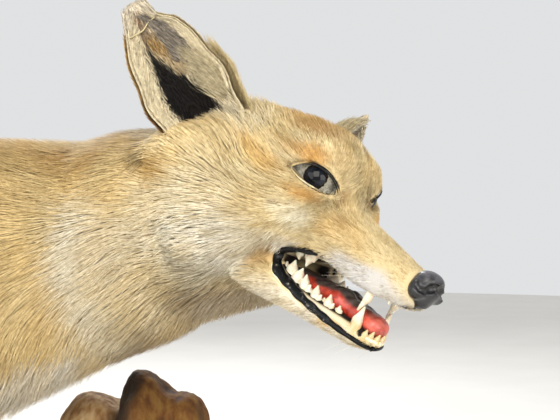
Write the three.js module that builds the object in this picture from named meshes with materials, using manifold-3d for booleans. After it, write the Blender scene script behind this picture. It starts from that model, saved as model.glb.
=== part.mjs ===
// A mounted red fox, standing on a board beside a gnarled stump, head turned to its right and mouth open.
// Millimetres. +X points ahead of the fox, +Y to its left and +Z up, from the middle of the board's base.
// The animal is one blended form, drawn as a net over a grid and parted with thin cuts.
import * as THREE from "three";
import { mergeVertices } from "three/addons/utils/BufferGeometryUtils.js";
import Module from "manifold-3d";

const wasm = await Module();
wasm.setup();

const GAP = 0.4; // clear space at every cut and contact
const SLIVER = 0.02; // corners closer than this are one
const SIDES = { left: 1, right: -1 };

// The stand. The fox's own frame has its floor at the board's top.
const BOARD = { length: 590, width: 226, thickness: 32, bevel: 5, wander: 5 };
const FOX_SHIFT = -8; // the fox's frame, forward of the board's centre

// The head's frame, in the fox's: at the nose, with x along the muzzle, y to the left and z up from the lip.
const HEAD = { at: [407.2, -88.9, 294.5], yaw: -36.3, pitch: 18.5, roll: -15 };

const EYE = { centre: [-81.5, 16.8, 34], radius: 8.5 };
const NOSE = { centre: [-4, 0, 9.3], radii: [7.2, 9.8, 7.6] };
const EAR = {
  root: [-136, 45, 32],
  axis: [-0.455, 0.668, 0.588],
  opening: [0.8, 0.6, 0.03],
  length: { left: 80, right: 78 },
  halfWidth: 23.5,
  depth: 21,
  thickness: 4.2,
  sunk: 10,
};
const MOUTH = { cornerX: -86, cornerZ: -7.5, rise: 4.5, drop: 19 }; // the lips' corners and how they part
const LEG_CUT = 196; // height where the legs leave the trunk
const PAW_CUT = 46;
const HOCK_CUT = 136;
const LEG_STEP = [13.5, 12, 15]; // the cuts above lie midway between its layers
const TRUNK_STEP = [29, 25, 25];
// Where the feet stand, ahead of the fox's origin and out from its middle, and how far each is out of step.
const FOOT = { fore: [107, 45], hind: [-204, 48] };
const STRIDE = { fore: { left: -16, right: 10 }, hind: { left: 34, right: -12 } };
const TAIL_POINTS = [
  [-238, 0, 350],
  [-296, 0, 320],
  [-348, -5, 262],
  [-394, -14, 190],
  [-436, -28, 128],
  [-484, -46, 86],
];

// ---- Forms: each is a function of a point, below zero inside ----

const { clamp, degToRad, lerp } = THREE.MathUtils;

// An ellipsoid with its long axis tipped up by tilt degrees in the XZ plane.
function egg([cx, cy, cz], [rx, ry, rz], tilt = 0) {
  const c = Math.cos(degToRad(tilt));
  const s = Math.sin(degToRad(tilt));
  return (x, y, z) => {
    const u = c * (x - cx) + s * (z - cz);
    const v = y - cy;
    const w = c * (z - cz) - s * (x - cx);
    const near = Math.hypot(u / rx, v / ry, w / rz);
    const slope = Math.hypot(u / rx ** 2, v / ry ** 2, w / rz ** 2);
    return slope < 1e-9 ? -Math.min(rx, ry, rz) : (near * (near - 1)) / slope;
  };
}

// A rod from a to b whose radius changes from ra to rb, with its section widened sideways.
function limb(a, b, ra, rb, wide = 1) {
  const d = b.map((v, i) => v - a[i]);
  const length2 = d[0] ** 2 + d[1] ** 2 + d[2] ** 2;
  return (x, y, z) => {
    const along = (x - a[0]) * d[0] + (y - a[1]) * d[1] + (z - a[2]) * d[2];
    const h = clamp(along / length2, 0, 1);
    const off = Math.hypot(
      x - a[0] - h * d[0],
      (y - a[1] - h * d[1]) / wide,
      z - a[2] - h * d[2],
    );
    return off - lerp(ra, rb, h);
  };
}

// Joins forms with a fillet about k wide.
function blend(k, ...forms) {
  return (x, y, z) => {
    let d = forms[0](x, y, z);
    for (const form of forms.slice(1)) {
      const e = form(x, y, z);
      const h = Math.max(k - Math.abs(d - e), 0) / k;
      d = Math.min(d, e) - (h * h * k) / 4;
    }
    return d;
  };
}

// Takes tool out of form, with an edge rounded by about k.
function carve(k, form, tool) {
  const inverse = blend(k, (x, y, z) => -form(x, y, z), tool);
  return (x, y, z) => -inverse(x, y, z);
}

const grown = (form, by) => (x, y, z) => form(x, y, z) - by;

// form, read in a frame that is placed by matrix.
function seenFrom(matrix, form) {
  const m = matrix.elements;
  return (x, y, z) =>
    form(
      m[0] * x + m[4] * y + m[8] * z + m[12],
      m[1] * x + m[5] * y + m[9] * z + m[13],
      m[2] * x + m[6] * y + m[10] * z + m[14],
    );
}

const bothSides = (make) => Object.values(SIDES).map(make);

// ---- From a form to a solid ----

// The closed surface where form is zero, as a net with one point in each crossed cell of a grid.
function netOf(whole, low, high, step) {
  const inset = step.map((s) => s * 0.6);
  const form = (x, y, z) =>
    Math.max(
      whole(x, y, z),
      ...[x, y, z].map((v, i) => Math.max(low[i] + inset[i] - v, v - high[i] + inset[i])),
    );
  const count = low.map((v, i) => Math.ceil((high[i] - v) / step[i]) + 2);
  const place = (i, axis) => low[axis] + (i - 0.5) * step[axis];
  const index = (i, j, k) => (k * count[1] + j) * count[0] + i;
  const values = new Float64Array(count[0] * count[1] * count[2]);
  for (let k = 0; k < count[2]; k++)
    for (let j = 0; j < count[1]; j++)
      for (let i = 0; i < count[0]; i++)
        values[index(i, j, k)] = form(place(i, 0), place(j, 1), place(k, 2));
  settle(values, index, count);

  const points = [];
  const cellPoint = new Int32Array(values.length).fill(-1);
  for (let k = 0; k < count[2] - 1; k++)
    for (let j = 0; j < count[1] - 1; j++)
      for (let i = 0; i < count[0] - 1; i++) {
        const point = crossing(form, values, index, [i, j, k], place, step);
        if (point) {
          cellPoint[index(i, j, k)] = points.length / 3;
          points.push(...point);
        }
      }
  const faces = netFaces(values, index, cellPoint, count, points);
  const net = new THREE.BufferGeometry();
  net.setAttribute("position", new THREE.Float32BufferAttribute(points, 3));
  net.setIndex(faces);
  return net;
}

// Where the corners of a grid face alternate, its nearest outer corner joins the inside, so that no edge of
// the net gets four faces.
function settle(values, index, count) {
  const steps = [index(1, 0, 0), index(0, 1, 0), index(0, 0, 1)];
  let moved = true;
  while (moved) {
    moved = false;
    for (let at = 0; at < values.length - index(1, 1, 1); at++)
      for (const [u, v] of [[0, 1], [1, 2], [2, 0]]) {
        const ring = [at, at + steps[u], at + steps[u] + steps[v], at + steps[v]];
        const inside = ring.map((n) => values[n] < 0);
        if (inside[0] !== inside[2] || inside[1] !== inside[3] || inside[0] === inside[1]) continue;
        const outer = ring.filter((n, i) => !inside[i]);
        values[values[outer[0]] < values[outer[1]] ? outer[0] : outer[1]] = -1e-6;
        moved = true;
      }
  }
}

// The mean of the places where a cell's edges cross the surface, moved onto the surface, or null.
function crossing(form, values, index, [i, j, k], place, step) {
  const corner = (c) => [i + (c & 1), j + ((c >> 1) & 1), k + (c >> 2)];
  const sum = [0, 0, 0];
  let hits = 0;
  for (let c = 0; c < 8; c++)
    for (const bit of [1, 2, 4]) {
      if (c & bit) continue;
      const from = corner(c);
      const to = corner(c | bit);
      const a = values[index(...from)];
      const b = values[index(...to)];
      if (a < 0 === b < 0) continue;
      const t = a / (a - b);
      for (let n = 0; n < 3; n++) sum[n] += lerp(place(from[n], n), place(to[n], n), t);
      hits++;
    }
  if (!hits) return null;
  const start = sum.map((v) => v / hits);
  const point = [...start];
  for (let round = 0; round < 3; round++) {
    const e = 0.3;
    const d = form(...point);
    const slope = [0, 1, 2].map((n) => {
      const ahead = [...point];
      ahead[n] += e;
      return (form(...ahead) - d) / e;
    });
    const steep = Math.max(slope[0] ** 2 + slope[1] ** 2 + slope[2] ** 2, 0.2);
    for (let n = 0; n < 3; n++)
      point[n] = clamp(
        point[n] - (d * slope[n]) / steep,
        start[n] - step[n] * 0.45,
        start[n] + step[n] * 0.45,
      );
  }
  return point;
}

// Two triangles round each grid edge that crosses the surface, split along the shorter diagonal.
function netFaces(values, index, cellPoint, count, points) {
  const faces = [];
  const span = (a, b) =>
    Math.hypot(...[0, 1, 2].map((n) => points[3 * a + n] - points[3 * b + n]));
  for (let k = 1; k < count[2] - 1; k++)
    for (let j = 1; j < count[1] - 1; j++)
      for (let i = 1; i < count[0] - 1; i++)
        for (let axis = 0; axis < 3; axis++) {
          const ahead = [i, j, k];
          ahead[axis]++;
          const inside = values[index(i, j, k)] < 0;
          if (inside === values[index(...ahead)] < 0) continue;
          const [u, v] = [(axis + 1) % 3, (axis + 2) % 3];
          const ring = [[0, 0], [1, 0], [1, 1], [0, 1]].map(([du, dv]) => {
            const cell = [i, j, k];
            cell[u] -= 1 - du;
            cell[v] -= 1 - dv;
            return cellPoint[index(...cell)];
          });
          if (!inside) ring.reverse();
          const [a, b, c, d] = ring;
          if (span(a, c) < span(b, d)) faces.push(a, b, c, a, c, d);
          else faces.push(b, c, d, b, d, a);
        }
  return faces;
}

// A closed geometry as a solid that can be joined and cut.
function solidOf(geometry, matrix = new THREE.Matrix4()) {
  const bare = geometry.clone().applyMatrix4(matrix);
  bare.deleteAttribute("normal");
  bare.deleteAttribute("uv");
  const merged = mergeVertices(bare, 1e-4);
  return new wasm.Manifold(
    new wasm.Mesh({
      numProp: 3,
      vertProperties: merged.attributes.position.array,
      triVerts: new Uint32Array(merged.index.array),
    }),
  );
}

const shaped = (form, low, high, step) => solidOf(netOf(form, low, high, step));

// The head's net is drawn in a frame that narrows towards the nose, so that its cells shrink with the muzzle.
function narrowed(x, y, z) {
  const scale = lerp(1, 0.52, THREE.MathUtils.smoothstep(x, -112, -30));
  return [x, y * scale, z * scale];
}

function shapedFace(form, low, high, step) {
  const net = netOf((x, y, z) => form(...narrowed(x, y, z)), low, high, step);
  const points = net.attributes.position;
  for (let i = 0; i < points.count; i++)
    points.setXYZ(i, ...narrowed(points.getX(i), points.getY(i), points.getZ(i)));
  return solidOf(net);
}

// The largest piece of a cut, without the crumbs.
function mainBody(solid) {
  return solid.decompose().reduce((a, b) => (a.volume() > b.volume() ? a : b));
}

// What lies ahead of a plane through point that faces along normal, less half the gap.
function ahead(solid, normal, point) {
  const n = new THREE.Vector3(...normal).normalize();
  const offset = n.dot(new THREE.Vector3(...point)) + GAP / 2;
  return solid.trimByPlane(n.toArray(), offset);
}

const opposite = (normal) => normal.map((v) => -v);
const between = (solid, normal, from, to) =>
  ahead(ahead(solid, normal, from), opposite(normal), to);

// A cut solid's largest body as a named mesh, without the slivers that the cuts left.
function meshOf(name, solid, material) {
  const { vertProperties, triVerts } = mainBody(solid).getMesh();
  const geometry = new THREE.BufferGeometry();
  geometry.setAttribute("position", new THREE.BufferAttribute(vertProperties, 3));
  geometry.setIndex(new THREE.BufferAttribute(triVerts, 1));
  const merged = mergeVertices(geometry, SLIVER);
  const kept = new Map(); // faces by their corners: two back to back cancel out
  for (let i = 0; i < merged.index.count; i += 3) {
    const face = Array.from(merged.index.array.slice(i, i + 3));
    const key = [...face].sort().join();
    if (new Set(face).size < 3) continue;
    if (!kept.delete(key)) kept.set(key, face);
  }
  merged.setIndex([...kept.values()].flat());
  const flat = merged.toNonIndexed();
  flat.computeVertexNormals();
  const mesh = new THREE.Mesh(flat, material);
  mesh.name = name;
  return mesh;
}

// ---- Materials ----

const finish = (color, roughness, metalness = 0) =>
  new THREE.MeshStandardMaterial({ color, roughness, metalness });
const COAT = finish("#cfb07c", 0.9);
const PALE_COAT = finish("#d9d0b8", 0.9);
const DARK_COAT = finish("#3a2c22", 0.9);
const EAR_COAT = finish("#a98d63", 0.9);
const NOSE_SKIN = finish("#2b2b2e", 0.45);
const EYE_GLASS = finish("#14161b", 0.08);
const TONGUE = finish("#c0453a", 0.35);
const WOOD = finish("#a07d52", 0.85);
const BOARD_WOOD = finish("#4a2c1c", 0.5);

// ---- The head's forms, in the head's frame ----

const headMatrix = new THREE.Matrix4().compose(
  new THREE.Vector3(...HEAD.at),
  new THREE.Quaternion().setFromEuler(
    new THREE.Euler(degToRad(HEAD.roll), degToRad(HEAD.pitch), degToRad(HEAD.yaw), "ZYX"),
  ),
  new THREE.Vector3(1, 1, 1),
);
const intoHead = headMatrix.clone().invert();

// The muzzle tapers from the cheekbones to the nose and is slightly wider than it is high.
function muzzleForm() {
  return blend(
    6,
    limb([-84, 0, 13], [-13, 0, 6.5], 21, 10.2, 1.12),
    egg([-16, 0, 3.5], [13, 13.5, 8.5]),
  );
}

// Skull, cheekbones, cheek ruffs and throat, with brows over the lids.
function skullForm() {
  const [x, y, z] = EYE.centre;
  const skull = blend(
    16,
    egg([-122, 0, 26], [50, 42, 36]),
    egg([-99, 0, 36], [31, 25, 25]),
    limb([-100, 0, -12], [-140, 0, -14], 22, 38),
    ...bothSides((s) => egg([-101, 24 * s, 13], [30, 18, 20], 8)),
    ...bothSides((s) => egg([-122, 31 * s, -2], [35, 24, 32])),
  );
  const brows = bothSides((s) => egg([x - 5, (y - 2.5) * s, z + 10], [12, 9, 8], 20));
  const lids = bothSides((s) => egg([x, y * s, z], [10.2, 9.2, 8.8]));
  return blend(7, skull, ...brows, ...lids);
}

// The jaw: two bars that meet at the chin, and the floor of the mouth between them.
function jawForm() {
  return blend(
    6,
    ...bothSides((s) => limb([-92, 22 * s, -22], [-28, 7.5 * s, -24.5], 10.5, 5.8)),
    egg([-25, 0, -25], [7.5, 8.5, 5]),
    limb([-92, 0, -30], [-30, 0, -27], 8, 3.6, 2.1),
  );
}

const tongueForm = blend(
  5,
  limb([-84, 0, -17], [-45, 0, -14.5], 7.5, 6.2, 1.5),
  limb([-45, 0, -14.5], [-20, 0, -15], 6.2, 5.6, 1.35),
);

// The open mouth: the wedge in front of its corners, between the lips.
function gapeForm() {
  const { cornerX, cornerZ, rise, drop } = MOUTH;
  return (x, y, z) => {
    const forward = Math.max(x - cornerX, 0);
    const roof = cornerZ + rise * (1 - Math.exp(-forward / 8));
    const floor = cornerZ - drop * (1 - Math.exp(-forward / 14));
    return Math.max(z - roof, floor - z, cornerX - x);
  };
}

// ---- The body's forms, in the fox's frame ----

function trunkForm() {
  const neck = blend(
    4,
    limb([140, 0, 304], [225, -1, 318], 82, 61, 0.87),
    limb([225, -1, 318], [290, -4, 331], 61, 50, 0.9),
  );
  return blend(
    12,
    egg([80, 0, 292], [112, 66, 90]),
    limb([60, 0, 292], [-150, 0, 306], 86, 70, 0.8),
    egg([-178, 0, 304], [80, 58, 76]),
    neck,
  );
}

const footOf = (side, kind) => [FOOT[kind][0] + STRIDE[kind][side], FOOT[kind][1] * SIDES[side]];

function foreLegForm(side) {
  const s = SIDES[side];
  const [x, y] = footOf(side, "fore");
  const wrist = [x - 9, y, 92];
  return blend(
    12,
    limb([124, 42 * s, 300], [88, 47 * s, 216], 42, 27, 0.85),
    limb([86, 47 * s, 218], wrist, 25, 14.5, 0.9),
    limb(wrist, [x, y, 26], 14.5, 13),
    egg([x + 12, y, 13], [25, 17, 15]),
  );
}

function hindLegForm(side) {
  const s = SIDES[side];
  const [x, y] = footOf(side, "hind");
  const knee = [-126 + STRIDE.hind[side] * 0.4, 50 * s, 216];
  const hock = [x - 18, y, 122];
  return blend(
    12,
    limb([-168, 38 * s, 292], knee, 60, 36, 0.72),
    limb(knee, hock, 34, 15.5, 0.8),
    egg([hock[0] - 6, y, hock[2] + 4], [13, 10.5, 17], 30),
    limb(hock, [x, y, 28], 14.5, 12.5, 0.95),
    egg([x + 15, y, 13], [28, 16, 14]),
  );
}

// The middles of a foot's four toes. The two inner ones reach farther.
function toes(side, kind) {
  const [x, y] = footOf(side, kind);
  const reach = kind === "fore" ? 29 : 35;
  return [-1.5, -0.5, 0.5, 1.5].map((n) => [x + reach - Math.abs(n) * 5, y + n * 7.4, 9]);
}

const tailCurve = new THREE.CatmullRomCurve3(TAIL_POINTS.map((p) => new THREE.Vector3(...p)));
const brush = (t) => 27 + 23 * Math.sin(Math.PI * t ** 1.15) - 13 * t ** 3; // its radius, from root to tip

function tailForm() {
  const lengths = 9;
  const stretches = Array.from({ length: lengths }, (_, n) => {
    const [a, b] = [n / lengths, (n + 1) / lengths];
    const [from, to] = [tailCurve.getPoint(a).toArray(), tailCurve.getPoint(b).toArray()];
    return limb(from, to, brush(a), brush(b));
  });
  return blend(8, ...stretches);
}

const faceForm = blend(10, skullForm(), muzzleForm());
const headForm = blend(9, carve(3, faceForm, gapeForm()), jawForm());
const legForms = Object.keys(SIDES).flatMap((side) => [foreLegForm(side), hindLegForm(side)]);
const bodyForm = blend(26, trunkForm(), ...legForms);
const coatForm = blend(18, bodyForm, seenFrom(intoHead, headForm));
const backForm = blend(20, bodyForm, tailForm());

// ---- The head's nodes ----

const HEAD_CUT = { normal: [0.97, 0.12, 0.2], point: [-146, 0, 20] };

// A tooth from its root to its tip.
function tooth(root, tip, radius, sides = 4) {
  const [from, to] = [new THREE.Vector3(...root), new THREE.Vector3(...tip)];
  const line = to.clone().sub(from);
  const cone = new THREE.ConeGeometry(radius, line.length(), sides);
  const turn = new THREE.Quaternion().setFromUnitVectors(
    new THREE.Vector3(0, 1, 0),
    line.clone().normalize(),
  );
  const middle = from.clone().lerp(to, 0.5);
  return solidOf(cone, new THREE.Matrix4().compose(middle, turn, new THREE.Vector3(1, 1, 1)));
}

// count teeth from root to tip, each a step farther on.
function toothRow(count, root, tip, step, radius) {
  return Array.from({ length: count }, (_, n) => {
    const moved = (point) => point.map((v, i) => v + n * step[i]);
    return [moved(root), moved(tip), radius];
  });
}

// The teeth of one side: canine, incisors, premolars and the two largest cheek teeth.
const UPPER_TEETH = [
  [[-22, 11, 2], [-28, 12, -13.5], 3.1],
  ...toothRow(3, [-11, 2, 1], [-10.5, 2, -7], [-1.6, 3.4, 0], 1.9),
  ...toothRow(3, [-33, 12.5, 1], [-33, 13, -7.5], [-8.5, 2, 0], 3.2),
  [[-60, 19, 1], [-61, 19.5, -9], 4.6],
  [[-67, 20.5, 1], [-67, 21, -7.5], 3.8],
];
const LOWER_TEETH = [
  [[-24.5, 8.5, -25], [-24.8, 11, -10.2], 3.6],
  ...toothRow(3, [-16, 1.6, -25], [-13.5, 1.7, -19.5], [-1.9, 2.7, 0], 1.7),
  ...toothRow(3, [-32.5, 10.5, -21.5], [-33.5, 12.5, -11.7], [-10.3, 2.4, 1.2], 3.4),
  [[-63, 18.5, -20], [-62, 18.5, -7], 4.6],
  [[-70, 20, -19], [-70.7, 19.5, -4.9], 5],
];

function withTeeth(gum, rows) {
  const across = ([x, y, z], s) => [x, y * s, z];
  return bothSides((s) => rows.map(([root, tip, r]) => tooth(across(root, s), across(tip, s), r)))
    .flat()
    .reduce((solid, part) => solid.add(part), gum);
}

function eyeBall(side, extra = 0) {
  const [x, y, z] = EYE.centre;
  const ball = new THREE.SphereGeometry(EYE.radius + extra, 12, 8);
  return solidOf(ball, new THREE.Matrix4().makeTranslation(x, y * SIDES[side], z));
}

// The almond opening in the lids, from its rear corner to the tear duct.
function lidOpening(side) {
  const s = SIDES[side];
  const [x, y, z] = EYE.centre;
  const almond = new THREE.SphereGeometry(1, 10, 6).scale(12.5, 5, 5.6);
  const lie = new THREE.Vector3(0.86, -0.5 * s, -0.16).normalize();
  const turn = new THREE.Quaternion().setFromUnitVectors(new THREE.Vector3(1, 0, 0), lie);
  const place = new THREE.Vector3(x + 6.5, (y + 7) * s, z + 1);
  return solidOf(almond, new THREE.Matrix4().compose(place, turn, new THREE.Vector3(1, 1, 1)));
}

function nosePad(extra = 0) {
  const scale = NOSE.radii.map((r) => r + extra);
  const pad = new THREE.SphereGeometry(1, 12, 8).rotateX(Math.PI / 2).scale(...scale);
  return solidOf(pad, new THREE.Matrix4().makeTranslation(...NOSE.centre));
}

// A point of an ear's cupped wall: t from root to tip, u across from -1 to 1, layer 0 inside and 1 outside.
function earPoint(side, t, u, layer) {
  const s = SIDES[side];
  const mirrored = (v) => new THREE.Vector3(v[0], v[1] * s, v[2]);
  const axis = mirrored(EAR.axis).normalize();
  const opening = mirrored(EAR.opening).projectOnPlane(axis).normalize();
  const across = axis.clone().cross(opening).multiplyScalar(-s);
  const folded = side === "right";
  const out = clamp(t, 0, 1);
  const taper = folded ? 1 - 0.68 * out ** 2.6 : 1 - 0.86 * out ** 2;
  const half = EAR.halfWidth * taper * (1 - 0.1 * Math.cos(Math.PI * clamp(t * 2, 0, 1)));
  const depth = EAR.depth * (1 - 0.72 * out);
  const turn = u * 1.25;
  const flop = folded ? 26 * Math.max(t - 0.8, 0) : 10 * Math.max(t - 0.75, 0);
  const wall = layer * EAR.thickness * (1 - 0.35 * out);
  return mirrored(EAR.root)
    .addScaledVector(axis, t * EAR.length[side])
    .addScaledVector(across, (half + wall) * (Math.sin(turn) / Math.sin(1.25)))
    .addScaledVector(opening, -(depth + wall) * Math.cos(turn) - flop);
}

// A closed leaf: rows of points round the outside and back along the inside of each section.
function earShell(side) {
  const rows = 7;
  const across = 6;
  const start = -EAR.sunk / EAR.length[side];
  const points = [];
  for (let r = 0; r <= rows; r++) {
    const t = lerp(start, 1, r / rows);
    for (let n = 0; n <= across; n++)
      points.push(earPoint(side, t, lerp(-1, 1, n / across), 1));
    for (let n = across; n >= 0; n--)
      points.push(earPoint(side, t, lerp(-1, 1, n / across), 0));
  }
  const ring = 2 * (across + 1);
  const faces = [];
  const quad = (a, b, c, d) => faces.push(a, b, c, a, c, d);
  for (let r = 0; r < rows; r++)
    for (let n = 0; n < ring; n++) {
      const next = (n + 1) % ring;
      quad(r * ring + n, r * ring + next, (r + 1) * ring + next, (r + 1) * ring + n);
    }
  for (let n = 0; n < across; n++) {
    const top = rows * ring;
    quad(ring - 1 - n, ring - 2 - n, n + 1, n);
    quad(top + n, top + n + 1, top + ring - 2 - n, top + ring - 1 - n);
  }
  const leaf = new THREE.BufferGeometry().setFromPoints(points);
  leaf.setIndex(side === "left" ? faces : faces.reverse());
  return solidOf(leaf);
}

// The room that the jaw and tongue take: all that is ahead of the mouth's corners and below them.
function jawRoom() {
  const { cornerX, cornerZ } = MOUTH;
  const room = new THREE.BoxGeometry(120, 120, 80);
  const middle = [cornerX - GAP / 2 + 60, 0, cornerZ + GAP / 2 - 40];
  return solidOf(room, new THREE.Matrix4().makeTranslation(...middle));
}

function headSolids() {
  const whole = seenFrom(headMatrix, coatForm);
  const headNet = [[-172, -78, -66], [4, 78, 74], [10.6, 11, 10]];
  const skull = shapedFace(whole, ...headNet);
  const jacket = shapedFace(grown(whole, 2 * GAP), ...headNet);
  const tongueNet = [[-96, -20, -32], [-8, 20, -2], [10, 6.4, 5.6]];
  const tongue = shaped(tongueForm, ...tongueNet);
  const tongueJacket = shaped(grown(tongueForm, GAP), ...tongueNet);
  const chin = shapedFace(whole, [-112, -58, -70], [-4, 58, 4], [11.5, 11.6, 10]);
  const eyeHoles = Object.keys(SIDES).flatMap((side) => [eyeBall(side, GAP), lidOpening(side)]);
  const head = [jawRoom(), nosePad(GAP), ...eyeHoles].reduce(
    (solid, hole) => solid.subtract(hole),
    ahead(skull, HEAD_CUT.normal, HEAD_CUT.point),
  );
  const jaw = ahead(
    ahead(chin, [1, 0, 0], [MOUTH.cornerX, 0, 0]),
    [0, 0, -1],
    [0, 0, MOUTH.cornerZ],
  );
  return {
    head: withTeeth(mainBody(head), UPPER_TEETH),
    lower_jaw: withTeeth(jaw.subtract(tongueJacket), LOWER_TEETH),
    tongue: ahead(tongue, [1, 0, 0], [MOUTH.cornerX, 0, 0]),
    jacket,
  };
}

function headGroup() {
  const { head, lower_jaw, tongue, jacket } = headSolids();
  const group = new THREE.Group();
  group.applyMatrix4(headMatrix);
  group.add(
    meshOf("head", head, COAT),
    meshOf("lower_jaw", lower_jaw, PALE_COAT),
    meshOf("tongue", tongue, TONGUE),
    meshOf("nose", nosePad(), NOSE_SKIN),
  );
  const nape = solidOf(netOf(grown(coatForm, 4 * GAP), ...TRUNK_BOX, TRUNK_STEP), intoHead);
  for (const side of Object.keys(SIDES)) {
    group.add(meshOf("eye_" + side, eyeBall(side), EYE_GLASS));
    const ear = earShell(side).subtract(jacket).subtract(nape);
    group.add(meshOf("ear_" + side, ear, EAR_COAT));
  }
  return group;
}

// ---- The trunk, tail and legs ----

const NECK_CUT = { normal: [0.97, 0, 0.24], point: [170, 0, 300] };
const BELLY_CUT = { normal: [1, 0, 0], point: [10, 0, 300] };
const RUMP_CUT = { normal: [1, 0, 0], point: [-72, 0, 300] };
const TAIL_CUT = { normal: [0.97, 0, 0.25], point: [-267, 0, 335] };
const TRUNK_BOX = [[-290, -100, LEG_CUT - 1.5 * TRUNK_STEP[2]], [345, 100, 404]];

function trunkMeshes() {
  const whole = ahead(shaped(coatForm, ...TRUNK_BOX, TRUNK_STEP), [0, 0, 1], [0, 0, LEG_CUT]);
  const headNormal = new THREE.Vector3(...HEAD_CUT.normal).transformDirection(headMatrix);
  const headPoint = new THREE.Vector3(...HEAD_CUT.point).applyMatrix4(headMatrix).toArray();
  const behindHead = ahead(whole, headNormal.negate().toArray(), headPoint);
  const back = shaped(backForm, [-320, -80, TRUNK_BOX[0][2]], [-34, 80, 404], [27, 24, 25]);
  const rump = ahead(
    ahead(back, [0, 0, 1], [0, 0, LEG_CUT]),
    opposite(RUMP_CUT.normal),
    RUMP_CUT.point,
  );
  const middle = (rear, front) =>
    ahead(ahead(behindHead, rear.normal, rear.point), opposite(front.normal), front.point);
  return [
    meshOf("neck", ahead(behindHead, NECK_CUT.normal, NECK_CUT.point), COAT),
    meshOf("chest", middle(BELLY_CUT, NECK_CUT), COAT),
    meshOf("belly", middle(RUMP_CUT, BELLY_CUT), COAT),
    meshOf("rump", ahead(rump, TAIL_CUT.normal, TAIL_CUT.point), COAT),
  ];
}

// The tail in three lengths, cut square to its curve.
function tailMeshes() {
  const whole = shaped(backForm, [-540, -110, 30], [-222, 70, 392], [23, 20, 21]);
  const cutAt = (t) => ({
    normal: tailCurve.getTangent(t).negate().toArray(),
    point: tailCurve.getPoint(t).toArray(),
  });
  const [first, second] = [cutAt(0.38), cutAt(0.72)];
  const loose = ahead(whole, opposite(TAIL_CUT.normal), TAIL_CUT.point);
  const rest = ahead(loose, opposite(first.normal), first.point);
  return [
    meshOf("tail_base", ahead(loose, first.normal, first.point), COAT),
    meshOf("tail_middle", ahead(rest, second.normal, second.point), COAT),
    meshOf("tail_tip", ahead(rest, opposite(second.normal), second.point), PALE_COAT),
  ];
}

const FLOOR = GAP; // the soles' clear space over the board

// A paw with its four toes and their claws, flat underneath.
function pawSolid(side, kind, legForm) {
  const [x, y] = footOf(side, kind);
  const pad = shaped(legForm, [x - 30, y - 30, -8], [x + 46, y + 30, PAW_CUT + 12], [13, 11, 11.5]);
  const parts = toes(side, kind).flatMap(([toeX, toeY, toeZ]) => {
    const knuckle = new THREE.SphereGeometry(1, 5, 4).scale(14, 5.8, 9.8);
    return [
      solidOf(knuckle, new THREE.Matrix4().makeTranslation(toeX, toeY, toeZ)),
      tooth([toeX + 8, toeY, toeZ], [toeX + 17, toeY, toeZ - 6], 2.4, 3),
    ];
  });
  const paw = parts.reduce((solid, part) => solid.add(part), pad);
  return between(paw, [0, 0, 1], [0, 0, FLOOR - GAP / 2], [0, 0, PAW_CUT]);
}

function foreLegMeshes(side) {
  const [x, y] = footOf(side, "fore");
  const leg = shaped(
    bodyForm,
    [x - 60, y - 42, PAW_CUT - 1.5 * LEG_STEP[2]],
    [x + 42, y + 42, LEG_CUT + LEG_STEP[2]],
    LEG_STEP,
  );
  return [
    meshOf("fore_leg_" + side, between(leg, [0, 0, 1], [0, 0, PAW_CUT], [0, 0, LEG_CUT]), COAT),
    meshOf("fore_paw_" + side, pawSolid(side, "fore", foreLegForm(side)), DARK_COAT),
  ];
}

function hindLegMeshes(side) {
  const [x, y] = footOf(side, "hind");
  const leg = shaped(
    bodyForm,
    [x - 52, y - 46, PAW_CUT - 1.5 * LEG_STEP[2]],
    [x + 150, y + 46, LEG_CUT + LEG_STEP[2]],
    LEG_STEP,
  );
  return [
    meshOf("hind_leg_" + side, between(leg, [0, 0, 1], [0, 0, HOCK_CUT], [0, 0, LEG_CUT]), COAT),
    meshOf("hind_shank_" + side, between(leg, [0, 0, 1], [0, 0, PAW_CUT], [0, 0, HOCK_CUT]), COAT),
    meshOf("hind_paw_" + side, pawSolid(side, "hind", hindLegForm(side)), DARK_COAT),
  ];
}

// ---- The stand ----

// A thick slice of wood with a live edge that wanders a little.
function boardMesh() {
  const outline = new THREE.Shape();
  const corners = 32;
  const { length, width, thickness, bevel, wander } = BOARD;
  for (let n = 0; n < corners; n++) {
    const a = (2 * Math.PI * n) / corners;
    const square = (v) => Math.sign(v) * Math.abs(v) ** 0.62;
    const edge = 1 + (wander / width) * (Math.sin(3 * a + 1) + 0.6 * Math.sin(7 * a));
    const x = (length / 2 - bevel) * square(Math.cos(a)) * edge;
    const y = (width / 2 - bevel) * square(Math.sin(a)) * edge;
    if (n) outline.lineTo(x, y);
    else outline.moveTo(x, y);
  }
  const board = new THREE.ExtrudeGeometry(outline, {
    depth: thickness - 2 * bevel,
    bevelThickness: bevel,
    bevelSize: bevel,
    bevelSegments: 1,
  });
  board.translate(0, 0, bevel);
  const mesh = new THREE.Mesh(board, BOARD_WOOD);
  mesh.name = "stand_board";
  return mesh;
}

// A leaning stump with two knotted lobes at its top and three root flares.
function stumpForm() {
  const roots = [20, 140, 262].map((turn) => {
    const a = degToRad(turn);
    return limb([218, 44, 26], [218 + 62 * Math.cos(a), 44 + 42 * Math.sin(a), 2], 26, 10);
  });
  const foot = blend(16, limb([220, 42, 0], [206, 50, 160], 44, 36, 0.9), ...roots);
  return blend(
    7,
    foot,
    egg([181, 48, 180], [34, 32, 46], 32),
    egg([219, 44, 196], [23, 30, 46], 6),
    egg([246, 42, 206], [13, 15, 21]),
    egg([253, 48, 184], [13, 16, 17]),
    egg([234, 20, 110], [20, 14, 24]),
  );
}

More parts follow.
